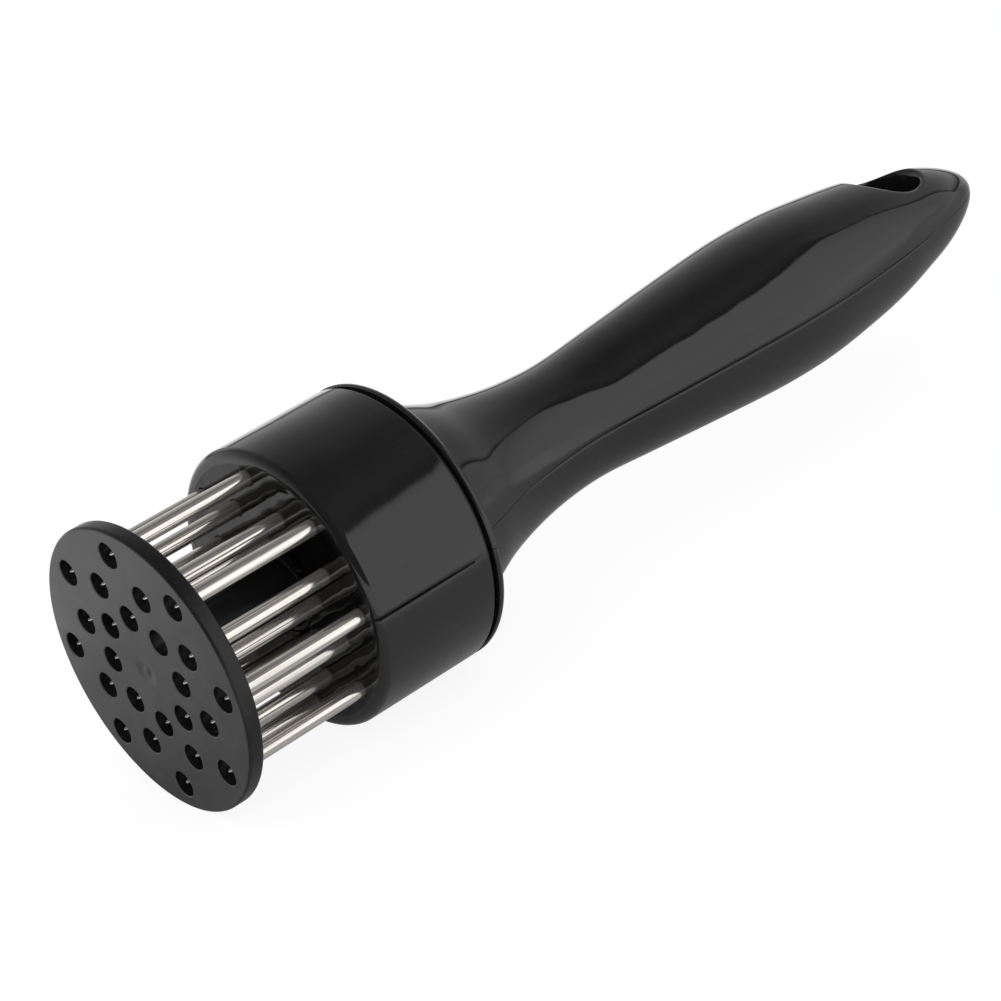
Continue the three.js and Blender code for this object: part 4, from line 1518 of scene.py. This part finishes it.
@cache
def finishes():
    """The materials by name, made once from the panel's values."""
    look = bpy.context.scene.tenderizer_finish
    black = look.black[:]
    gloss = look.gloss_roughness
    return {
        "handle_gloss": gloss_plastic("Glossy black handle", black, gloss, look.handle_wave),
        "housing_gloss": gloss_plastic("Glossy black housing", black, gloss + 0.05, look.drum_wave, 0.06),
        # The drum's front: a darker black with less shine, painted shade
        "housing_face_painted_shade": gloss_plastic(
            "Sunken black housing face", (0.003, 0.003, 0.0031), gloss, look.face_wave, 0.16, 0.27),
        "guard_satin": satin_plastic("Satin black guard", look.guard_black[:], look.guard_roughness),
        # The guard's rim and the walls of its holes: a darker black with less shine, painted shade
        "guard_rim_painted_shade": satin_plastic("Burnished black guard rim", black, 0.3, 0.3),
        # The edges of the guard's holes: a lighter grey, painted highlight
        "guard_lip_painted_highlight": satin_plastic("Worn black hole edge", (0.07, 0.07, 0.071), 0.3),
        "post_satin": satin_plastic("Satin black post", (0.005, 0.005, 0.0052), 0.3, 0.2),
        # The drum's moulding line: near black and dull, painted shade
        "line_painted_shade": satin_plastic("Black moulding line", (0.003, 0.003, 0.003), 0.45, 0.15),
        "mount_black": satin_plastic("Matt black mounting plate", (0.009, 0.009, 0.0092), 0.5),
        "inner_plastic": natural_plastic("Natural white plastic", (0.66, 0.65, 0.62), 0.42),
        "needle_steel": steel(
            "Polished needle steel", look.steel[:], look.steel_roughness, 1.0, 0.15, 0.0016, 0.9),
        "plate_steel": steel("Stamped plate steel", (0.56, 0.56, 0.555), 0.34, 0.4, 0.4, 0.003),
        "fastener_steel": steel("Zinc coated steel", (0.60, 0.61, 0.62), 0.3, 0.3, 0.8, 0.002),
        "spring_steel": steel("Drawn spring wire", (0.50, 0.50, 0.505), 0.27, 0.8, 0.3, 0.002),
    }


# Values that a user would change


def length(name, text, millimetres):
    return FloatProperty(
        name=name, description=text, default=millimetres * MM, min=0.0, unit="LENGTH", precision=5)


def paint(name, text, value):
    return FloatVectorProperty(
        name=name, description=text, default=value, size=3, min=0.0, max=1.0, subtype="COLOR")


def share(name, text, value, subtype="FACTOR"):
    return FloatProperty(name=name, description=text, default=value, min=0.0, max=1.0, subtype=subtype)


def wave(name, text, value):
    return share(name, f"Height in millimetres of the {text}", value, "NONE")


class TenderizerSizes(bpy.types.PropertyGroup):
    guard_edge: length("Guard Edge", "Rounding of the guard disc's rim", 0.6)
    guard_hole_radius: length("Guard Hole Radius", "Radius of the holes in the guard disc", GUARD_HOLE_RADIUS)
    guard_hole_lip: length("Guard Hole Lip", "Chamfer round each hole of the guard disc", 0.15)
    gate_depth: length(
        "Gate Mark Depth", "Depth of the moulding gate mark in the middle of the guard disc", 0.22)
    drum_edge: length("Drum Edge", "Rounding of the drum's front edge", 1.6)
    drum_hole_radius: length("Drum Hole Radius", "Radius of the needle holes in the drum", DRUM_HOLE_RADIUS)
    drum_hole_lip: length("Drum Hole Lip", "Chamfer round each needle hole of the drum", 0.12)
    parting_depth: length("Parting Line Depth", "Depth of the drum's moulding line", 0.45)
    parting_width: length("Parting Line Width", "Half width of the drum's moulding line", 0.2)
    seam_depth: length("Seam Depth", "Depth of the groove where the handle's halves meet", 0.22)
    seam_width: length("Seam Width", "Half width of the groove where the handle's halves meet", 0.2)
    needle_radius: length("Needle Radius", "Radius of a needle's shank", NEEDLE_RADIUS)
    thread_pitch: length("Thread Pitch", "Distance between two turns of a screw's thread", 0.8)


class TenderizerFinish(bpy.types.PropertyGroup):
    black: paint("Glossy Black", "Colour of the glossy plastic", (0.0068, 0.0068, 0.0072))
    guard_black: paint("Satin Black", "Colour of the guard disc", (0.033, 0.033, 0.0335))
    steel: paint("Needle Steel", "Colour of the polished needles", (0.90, 0.86, 0.81))
    gloss_roughness: share("Gloss Roughness", "Roughness of the glossy plastic", 0.045)
    guard_roughness: share("Guard Roughness", "Roughness of the guard disc", 0.33)
    steel_roughness: share("Steel Roughness", "Roughness of the needles", 0.12)
    handle_wave: wave("Handle Wave", "slow waves in the handle's moulded skin", 0.15)
    drum_wave: wave("Drum Wave", "slow waves in the side of the drum", 0.26)
    face_wave: wave("Face Wave", "sink marks round the needles in the drum's front", 0.28)


# Pieces


# Width of the guard's rim, and the largest axial part of a normal in the wall of a hole: both are painted a
# darker black as shade
GUARD_RIM_WIDTH = 0.35
HOLE_WALL_LEAN = 0.3
# A hole's edge, painted lighter as a highlight, lies further than this from the rim, and its normal's axial
# part is between these
LIP_FROM_RIM = 1.0
LIP_LEAN_LEAST = 0.5
LIP_LEAN_MOST = 0.9
# The drum's flat front, painted darker as shade, lies within this distance of its foremost place
FRONT_DEPTH = 0.2
# Where the drum's moulding line is painted black as shade: under its skin, beside the parting plane and
# behind the front edge
LINE_REACH = 0.6
LINE_HALF_WIDTH = 0.2
LINE_START = 1.0


def off_axis(middle):
    return math.hypot(middle.x, middle.z)


class TENDERIZER_OT_guard_disc(bpy.types.Operator):
    """Makes the perforated guard disc"""

    bl_idname = "tenderizer.guard_disc"
    bl_label = "Guard Disc"

    def execute(self, context):
        skins = finishes()
        satin = skins["guard_satin"]
        mesh = guard_disc_mesh(context.scene.tenderizer_sizes, satin)

        # The rim and the hole walls are painted darker as shade
        def on_the_rim_or_in_a_hole(middle, normal):
            return off_axis(middle) > HEAD_RADIUS - GUARD_RIM_WIDTH or abs(normal.y) < HOLE_WALL_LEAN

        # The hole's edge is painted lighter as a highlight
        def on_a_lip(middle, normal):
            inside = off_axis(middle) < HEAD_RADIUS - LIP_FROM_RIM
            return inside and LIP_LEAN_LEAST < abs(normal.y) < LIP_LEAN_MOST

        accents = [(skins["guard_rim_painted_shade"], on_the_rim_or_in_a_hole), (skins["guard_lip_painted_highlight"], on_a_lip)]
        finish_piece("guard_disc", mesh, satin, "guard", ["needle_guard"], accents=accents)
        return {"FINISHED"}


class TENDERIZER_OT_guard_post(bpy.types.Operator):
    """Makes the sliding post, its stop clip and the bush that guides it"""

    bl_idname = "tenderizer.guard_post"
    bl_label = "Guard Post, Clip and Bush"

    def execute(self, context):
        skins = finishes()
        satin = skins["post_satin"]
        finish_piece("guard_post", post_mesh(), satin, "guard", ["guard_plunger"])
        inner = skins["inner_plastic"]
        finish_piece("post_clip", clip_mesh(), inner, "guard", ["plunger_clip"])
        black = skins["mount_black"]
        finish_piece("post_bush", bush_mesh(), black, "handle", ["guide_bush"])
        return {"FINISHED"}


class TENDERIZER_OT_needles(bpy.types.Operator):
    """Makes the 23 needles"""

    bl_idname = "tenderizer.needles"
    bl_label = "Needles"

    def execute(self, context):
        metal = finishes()["needle_steel"]
        values = {
            "Ring 1 Radius": NEEDLE_RINGS[0],
            "Ring 2 Radius": NEEDLE_RINGS[1],
            "Ring 3 Radius": NEEDLE_RINGS[2],
            "Holes per Ring": NEEDLES_PER_RING,
            "Shank Radius": context.scene.tenderizer_sizes.needle_radius / MM,
            "Head Radius": NEEDLE_HEAD_RADIUS,
            "Tip": NEEDLE_LOW.y,
            "Point Length": NEEDLE_POINT,
            "Head Seat": NEEDLE_HIGH.y - NEEDLE_HEAD_THICKNESS,
            "End": NEEDLE_HIGH.y,
            "Sides": NEEDLE_SIDES,
            "Empty Hole": EMPTY_HOLE,
            "Material": metal,
        }
        mesh = grown("needles", needle_tree(), values)
        holes = range(1, len(NEEDLE_RINGS) * NEEDLES_PER_RING + 1)
        nodes = [f"needle_{hole:02d}" for hole in holes if hole != EMPTY_HOLE]
        finish_piece("needles", mesh, metal, "handle", nodes)
        return {"FINISHED"}


class TENDERIZER_OT_housing(bpy.types.Operator):
    """Makes the drum that the needles come out of"""

    bl_idname = "tenderizer.housing"
    bl_label = "Needle Housing"

    def execute(self, context):
        skins = finishes()
        gloss = skins["housing_gloss"]
        mesh = housing_mesh(context.scene.tenderizer_sizes, gloss)

        # The flat front is painted darker, with less shine, as shade
        def on_the_front(middle, normal):
            return middle.y < DRUM_LOW.y + FRONT_DEPTH and off_axis(middle) < FACE_RADIUS

        # The moulding line is painted black as shade
        def in_the_moulding_line(middle, normal):
            beside = off_axis(middle) > HEAD_RADIUS - LINE_REACH and abs(middle.z) < LINE_HALF_WIDTH
            return beside and DRUM_LOW.y + LINE_START < middle.y < DRUM_HIGH.y - LINE_FADE_END

        accents = [(skins["housing_face_painted_shade"], on_the_front), (skins["line_painted_shade"], in_the_moulding_line)]
        nodes = ["needle_housing"]
        finish_piece("housing_drum", mesh, gloss, "handle", nodes, accents=accents)
        return {"FINISHED"}


class TENDERIZER_OT_plates(bpy.types.Operator):
    """Makes the needle plate, the backing plate and the mounting plate"""

    bl_idname = "tenderizer.plates"
    bl_label = "Plates"

    def execute(self, context):
        skins = finishes()
        inner = skins["inner_plastic"]
        mesh = needle_plate_mesh(inner)
        finish_piece("needle_carrier", mesh, inner, "handle", ["needle_plate"])
        mesh = backing_plate_mesh()
        plate = skins["plate_steel"]
        finish_piece("needle_backing", mesh, plate, "handle", ["backing_plate"])
        mesh = mounting_plate_mesh()
        black = skins["mount_black"]
        finish_piece("drum_mount", mesh, black, "handle", ["mounting_plate"])
        return {"FINISHED"}


class TENDERIZER_OT_handle(bpy.types.Operator):
    """Makes both moulded halves of the handle"""

    bl_idname = "tenderizer.handle"
    bl_label = "Handle Halves"

    def execute(self, context):
        gloss = finishes()["handle_gloss"]
        top, bottom = handle_halves(context.scene.tenderizer_sizes)
        finish_piece("handle_half_top", top, gloss, "handle", ["handle_shell_top"])
        finish_piece("handle_half_bottom", bottom, gloss, "handle", ["handle_shell_bottom"])
        return {"FINISHED"}


class TENDERIZER_OT_spring(bpy.types.Operator):
    """Makes the return spring, its seat and the rod inside it"""

    bl_idname = "tenderizer.spring"
    bl_label = "Return Spring"

    def execute(self, context):
        skins = finishes()
        wire = skins["spring_steel"]
        values = {
            "Coil Radius": (SPRING_HIGH.x - SPRING_LOW.x) / 2 - SPRING_WIRE,
            "Wire Radius": SPRING_WIRE * SPRING_WIRE_SHARE,
            "Start": SPRING_LOW.y + SPRING_WIRE,
            "End": SPRING_HIGH.y - SPRING_WIRE,
            "Turns": SPRING_TURNS,
            "Resolution": SPRING_POINTS,
            "Closed Share": SPRING_CLOSED_SHARE,
            "Material": wire,
        }
        mesh = grown("spring_wire", coil_tree(), values)
        nodes = ["return_spring"]
        spring = finish_piece("spring_wire", mesh, wire, "handle", nodes, SHARP_WIRE_DEGREES)
        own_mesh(spring)
        metal = skins["fastener_steel"]
        finish_piece("spring_pin", guide_rod_mesh(), metal, "handle", ["guide_rod"])
        cup = skins["inner_plastic"]
        finish_piece("spring_cup", spring_seat_mesh(), cup, "handle", ["spring_seat"])
        return {"FINISHED"}


class TENDERIZER_OT_screws(bpy.types.Operator):
    """Makes the screws of the needle plates and of the mounting plate"""

    bl_idname = "tenderizer.screws"
    bl_label = "Screws"

    def execute(self, context):
        metal = finishes()["fastener_steel"]
        pitch = context.scene.tenderizer_sizes.thread_pitch / MM
        sets = (
            ("plate_screw", PLATE_SCREW_LOW, PLATE_SCREW_HIGH, PLATE_SCREW_CIRCLE, 0.0, True),
            ("mount_screw", MOUNT_SCREW_LOW, MOUNT_SCREW_HIGH, MOUNT_SCREW_CIRCLE, 45.0, False),
        )
        for node, low, high, circle, turn, forwards in sets:
            name = f"{node}s"
            values = {
                "Circle Radius": circle,
                "Count": SCREWS_PER_CIRCLE,
                "Shank Radius": SCREW_RADIUS,
                "Head Radius": SCREW_HEAD_RADIUS,
                "Head Height": SCREW_HEAD_HEIGHT,
                "Length": high.y - low.y - SCREW_HEAD_HEIGHT,
                "Recess Radius": SCREW_RECESS_RADIUS,
                "Recess Depth": SCREW_RECESS_DEPTH,
                "Thread Pitch": pitch,
                "Seat": high.y - SCREW_HEAD_HEIGHT if forwards else low.y + SCREW_HEAD_HEIGHT,
                "Turn": math.radians(turn),
                "Flip": math.pi if forwards else 0.0,
                "Material": metal,
            }
            mesh = grown(name, screw_tree(), values)
            nodes = [f"{node}_{number}" for number in range(1, SCREWS_PER_CIRCLE + 1)]
            finish_piece(name, mesh, metal, "handle", nodes)
        return {"FINISHED"}


# Stage

CAMERA_PLACE = (390.99, -200.88, 204.71)
CAMERA_LOOK = (-0.74621, 0.52940, -0.40363)
CAMERA_UP = (-0.16519, 0.44010, 0.88262)
CAMERA_LENS = 107.22
CAMERA_SENSOR = 36.0
# Metres
CAMERA_NEAR = 0.01
CAMERA_FAR = 50.0


def place_camera(scene):
    camera = bpy.data.objects.new("photo_camera", bpy.data.cameras.new("photo_camera"))
    scene.collection.objects.link(camera)
    camera.data.lens = CAMERA_LENS
    camera.data.sensor_width = CAMERA_SENSOR
    camera.data.clip_start = CAMERA_NEAR
    camera.data.clip_end = CAMERA_FAR
    look = Vector(CAMERA_LOOK).normalized()
    right = look.cross(Vector(CAMERA_UP)).normalized()
    up = right.cross(look)
    turn = Matrix((right, up, -look)).transposed().to_4x4()
    camera.matrix_world = Matrix.Translation(Vector(CAMERA_PLACE) * MM) @ turn
    scene.camera = camera


# Top edge of the big panel on the camera's side: its height as a direction's z, by azimuth in degrees
PANEL_TOP = (
    (0.0, 0.54),
    (30.0, 0.57),
    (37.0, 0.61),
    (45.0, 0.635),
    (53.0, 0.645),
    (61.0, 0.65),
    (67.0, 0.64),
    (71.0, 0.6),
    (74.0, 0.47),
    (77.0, 0.31),
    (80.0, 0.22),
    (83.0, 0.1),
    (85.0, 0.0),
    (90.0, 0.0),
)
PANEL_TURN = 90.0
PANEL_EDGE = 0.012
PANEL_FRAME = 0.08
PANEL_FRAME_EDGE = 0.06
PANEL_LEVEL = 1.45
PANEL_FALL = 0.25
PANEL_LEAST = 0.7
# The panel's fall stops growing where a direction's x is less than this
PANEL_AHEAD_LEAST = 0.05
FRAME_LEVEL = 0.06
ROOM_LEVEL = 0.8
ROOM_FALL = 0.78
# Edges in the room by direction, each a place and a softness: behind the tool, and the dark near side
BEHIND_EDGE = (-0.17, 0.17)
BEHIND_LEVEL = 0.1
NEAR_EDGE = (-0.1, 0.1)
NEAR_SIDE_EDGE = (0.0, 0.1)
CEILING_LEVEL = 0.1
MATT_LEVEL = 0.62
WHITE_LEVEL = 1.0


def panel_top_curve(web, azimuth):
    """Height of the panel's top edge at an azimuth, as a curve through PANEL_TOP."""
    turned = web.math("DIVIDE", azimuth, math.radians(PANEL_TURN), clamp=True)
    made = web.node("ShaderNodeFloatCurve", {"Value": turned})
    places = [(degrees / PANEL_TURN, height) for degrees, height in PANEL_TOP]
    points = made.mapping.curves[0].points
    points[0].location = places[0]
    points[1].location = places[-1]
    for place in places[1:-1]:
        points.new(*place)
    made.mapping.update()
    return Signal(web, made.outputs["Value"])


def studio_world(scene):
    """White to the camera, even grey to matt surfaces, and a studio of panels to glossy ones."""
    world = bpy.data.worlds.new("studio")
    scene.world = world
    world.use_nodes = True
    world.node_tree.nodes.clear()
    web = NodeWeb(world.node_tree)
    x, y, z = web.axes(web.signal("ShaderNodeTexCoord", output="Generated"))
    # How far a direction is above or short of the big panel on the camera's side
    over = z - panel_top_curve(web, web.math("ARCTAN2", y, x))
    outside = web.larger(over, y * -1.0)
    panel = web.below(outside, 0.0, PANEL_EDGE)
    framed = web.larger(web.below(outside, PANEL_FRAME, PANEL_FRAME_EDGE), panel)
    along = y / web.larger(x, PANEL_AHEAD_LEAST)
    lit = web.larger(PANEL_LEVEL - along * PANEL_FALL, PANEL_LEAST)
    # The room is brightest at the height of the table, and brighter behind the tool. Its near side is dark.
    room = ROOM_LEVEL - z * ROOM_FALL
    room = room + web.below(x, *BEHIND_EDGE) * BEHIND_LEVEL
    near = web.below(y, *NEAR_EDGE) * web.below(x * -1.0, *NEAR_SIDE_EDGE)
    room = web.larger(room * (1.0 - near), CEILING_LEVEL)
    level = room * (1.0 - framed) + (lit * panel + (framed - panel) * FRAME_LEVEL)
    backgrounds = []
    for strength in (level, MATT_LEVEL, WHITE_LEVEL):
        inputs = {"Color": (1.0, 1.0, 1.0, 1.0), "Strength": strength}
        backgrounds.append(web.signal("ShaderNodeBackground", inputs))
    glossy, matt, white = backgrounds
    path = web.signals("ShaderNodeLightPath")
    seen_by_surfaces = web.mix_shader(path["Is Glossy Ray"], matt, glossy)
    whole = web.mix_shader(path["Is Camera Ray"], seen_by_surfaces, white)
    web.node("ShaderNodeOutputWorld", {"Surface": whole})


FLOOR_REACH = 4000.0
FLOOR_DROP = 0.02
FLOOR_COLOUR = (0.8, 0.8, 0.8, 1.0)
CAMERA_GLOW = 1.06
CAMERA_GLOW_SHARE = 0.85
MIRROR_GLOW_SHARE = 0.8
# Painted shade on the table as glossy surfaces show it: its level next to the tool, its rise towards the
# paper's edge, and the painted shadow behind the needles
TABLE_LEVEL = 0.25
TABLE_RISE = 0.4
TABLE_SHADE = 0.85
PAPER_EDGE = 72.0
PAPER_SOFTNESS = 0.16
PAPER_LEVEL = 1.36
PAPER_LEAST_ASIDE = 20.0
PAPER_END = 2.1
PAPER_FALL = 0.6
PAPER_END_SHARE = 0.5
PAPER_SHADE = 0.3
# Edges of the two shades on the table, each a place and a softness: the shade behind the needles along Y and
# X, and the shade on the paper at the far side of the head
NEEDLE_SHADE_START = (-4.0, 6.0)
NEEDLE_SHADE_END = (14.0, 12.0)
NEEDLE_SHADE_SIDE = (-4.0, 10.0)
FAR_SHADE_SIDE = (-56.0, 10.0)
FAR_SHADE_END = (20.0, 15.0)


def table_glow_with_painted_shade(web, x, y):
    """Level of the table as glossy surfaces show it, with painted shade of the tool, from a place on it in
    metres.
    """

    def before(value, edge):
        return web.below(value, edge[0] * MM, edge[1] * MM)

    # Painted shade: the table is darker next to the tool, up to the edge of the white paper beside it
    aside = web.math("ABSOLUTE", x) / (PAPER_EDGE * MM)
    near = aside * TABLE_RISE + TABLE_LEVEL
    # Behind the needles the tool's own shadow darkens it
    beside = before(y, NEEDLE_SHADE_END) - before(y, NEEDLE_SHADE_START)
    shadow = before(x, NEEDLE_SHADE_SIDE) * beside
    near = near * (1.0 - shadow * TABLE_SHADE)
    far = 1.0 - web.below(aside, 1.0, PAPER_SOFTNESS)
    # Painted shade: the paper is dimmer where it runs on behind the tool, as the panel is
    back = (y - DRUM_HIGH.y * MM) / web.larger(web.math("ABSOLUTE", x), PAPER_LEAST_ASIDE * MM)
    paper = web.below(back, PAPER_END, PAPER_FALL) * (1.0 - PAPER_END_SHARE)
    paper = (paper + PAPER_END_SHARE) * PAPER_LEVEL
    level = near * (1.0 - far) + far * paper
    # On the far side of the head the paper is in the shade too
    dark = before(x, FAR_SHADE_SIDE) * before(y, FAR_SHADE_END)
    return level * (1.0 - dark * PAPER_SHADE)


def table_material():
    """Matt white that glows to the camera, and to glossy surfaces at levels that hold painted shade next to
    the tool.
    """
    material = bpy.data.materials.new("White table")
    material.use_nodes = True
    material.node_tree.nodes.clear()
    web = NodeWeb(material.node_tree)
    matt = web.signal("ShaderNodeBsdfDiffuse", {"Color": FLOOR_COLOUR})
    x, y, _ = web.axes(web.signal("ShaderNodeTexCoord", output="Object"))
    seen_glow = web.signal("ShaderNodeEmission", {"Strength": CAMERA_GLOW})
    mirror_glow = web.signal("ShaderNodeEmission", {"Strength": table_glow_with_painted_shade(web, x, y)})
    seen = web.mix_shader(CAMERA_GLOW_SHARE, matt, seen_glow)
    mirrored = web.mix_shader(MIRROR_GLOW_SHARE, matt, mirror_glow)
    path = web.signals("ShaderNodeLightPath")
    seen_by_surfaces = web.mix_shader(path["Is Glossy Ray"], matt, mirrored)
    whole = web.mix_shader(path["Is Camera Ray"], seen_by_surfaces, seen)
    web.node("ShaderNodeOutputMaterial", {"Surface": whole})
    return material


def lay_floor():
    height = GUARD_LOW.z - FLOOR_DROP
    signs = ((-1, -1), (1, -1), (1, 1), (-1, 1))
    mesh = bpy.data.meshes.new("floor")
    mesh.from_pydata([(x * FLOOR_REACH, y * FLOOR_REACH, height) for x, y in signs], [], [(0, 1, 2, 3)])
    mesh.transform(Matrix.Scale(MM, 4))
    mesh.materials.append(table_material())
    new_object("floor", mesh)


# A lamp's place in millimetres and its power in watts. Both lamps point at one place and have one size.
LAMPS = {"key_lamp": ((700, 150, 700), 6.0), "fill_lamp": ((-500, -400, 700), 3.0)}
LAMP_AIM = (0, 80, 0)
# Metres
LAMP_SIZE = 1.2


def hang_lamps(scene):
    for name, (place, watts) in LAMPS.items():
        lamp = bpy.data.lights.new(name, "AREA")
        lamp.shape = "RECTANGLE"
        lamp.size = LAMP_SIZE
        lamp.size_y = LAMP_SIZE
        lamp.energy = watts
        thing = bpy.data.objects.new(name, lamp)
        scene.collection.objects.link(thing)
        thing.location = Vector(place) * MM
        thing.rotation_euler = (Vector(LAMP_AIM) - Vector(place)).to_track_quat("-Z", "Y").to_euler()
        thing.visible_glossy = False
        thing.visible_camera = False


class TENDERIZER_OT_stage(bpy.types.Operator):
    """Sets the camera, the floor, the lamps and the world"""

    bl_idname = "tenderizer.stage"
    bl_label = "Stage"

    def execute(self, context):
        scene = context.scene
        scene.view_settings.view_transform = "Standard"
        place_camera(scene)
        studio_world(scene)
        lay_floor()
        hang_lamps(scene)
        return {"FINISHED"}


STEPS = (
    TENDERIZER_OT_guard_disc,
    TENDERIZER_OT_guard_post,
    TENDERIZER_OT_needles,
    TENDERIZER_OT_housing,
    TENDERIZER_OT_plates,
    TENDERIZER_OT_handle,
    TENDERIZER_OT_spring,
    TENDERIZER_OT_screws,
    TENDERIZER_OT_stage,
)


class TENDERIZER_PT_panel(bpy.types.Panel):
    """Lists the steps that dress the tenderizer"""

    bl_idname = "TENDERIZER_PT_panel"
    bl_label = "Tenderizer"
    bl_space_type = "VIEW_3D"
    bl_region_type = "UI"
    bl_category = "Tenderizer"

    def draw(self, context):
        layout = self.layout
        for owner in (context.scene.tenderizer_sizes, context.scene.tenderizer_finish):
            box = layout.box()
            for key in owner.__annotations__:
                box.prop(owner, key)
        for step in STEPS:
            layout.operator(step.bl_idname)


CLASSES = (TenderizerSizes, TenderizerFinish) + STEPS + (TENDERIZER_PT_panel,)


def register():
    for made in CLASSES:
        bpy.utils.register_class(made)
    bpy.types.Scene.tenderizer_sizes = PointerProperty(type=TenderizerSizes)
    bpy.types.Scene.tenderizer_finish = PointerProperty(type=TenderizerFinish)


def unregister():
    del bpy.types.Scene.tenderizer_finish
    del bpy.types.Scene.tenderizer_sizes
    for made in reversed(CLASSES):
        bpy.utils.unregister_class(made)


def main():
    register()
    bpy.ops.tenderizer.guard_disc()
    bpy.ops.tenderizer.guard_post()
    bpy.ops.tenderizer.needles()
    bpy.ops.tenderizer.housing()
    bpy.ops.tenderizer.plates()
    bpy.ops.tenderizer.handle()
    bpy.ops.tenderizer.spring()
    bpy.ops.tenderizer.screws()
    bpy.ops.tenderizer.stage()
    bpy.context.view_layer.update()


if __name__ == "__main__":
    main()
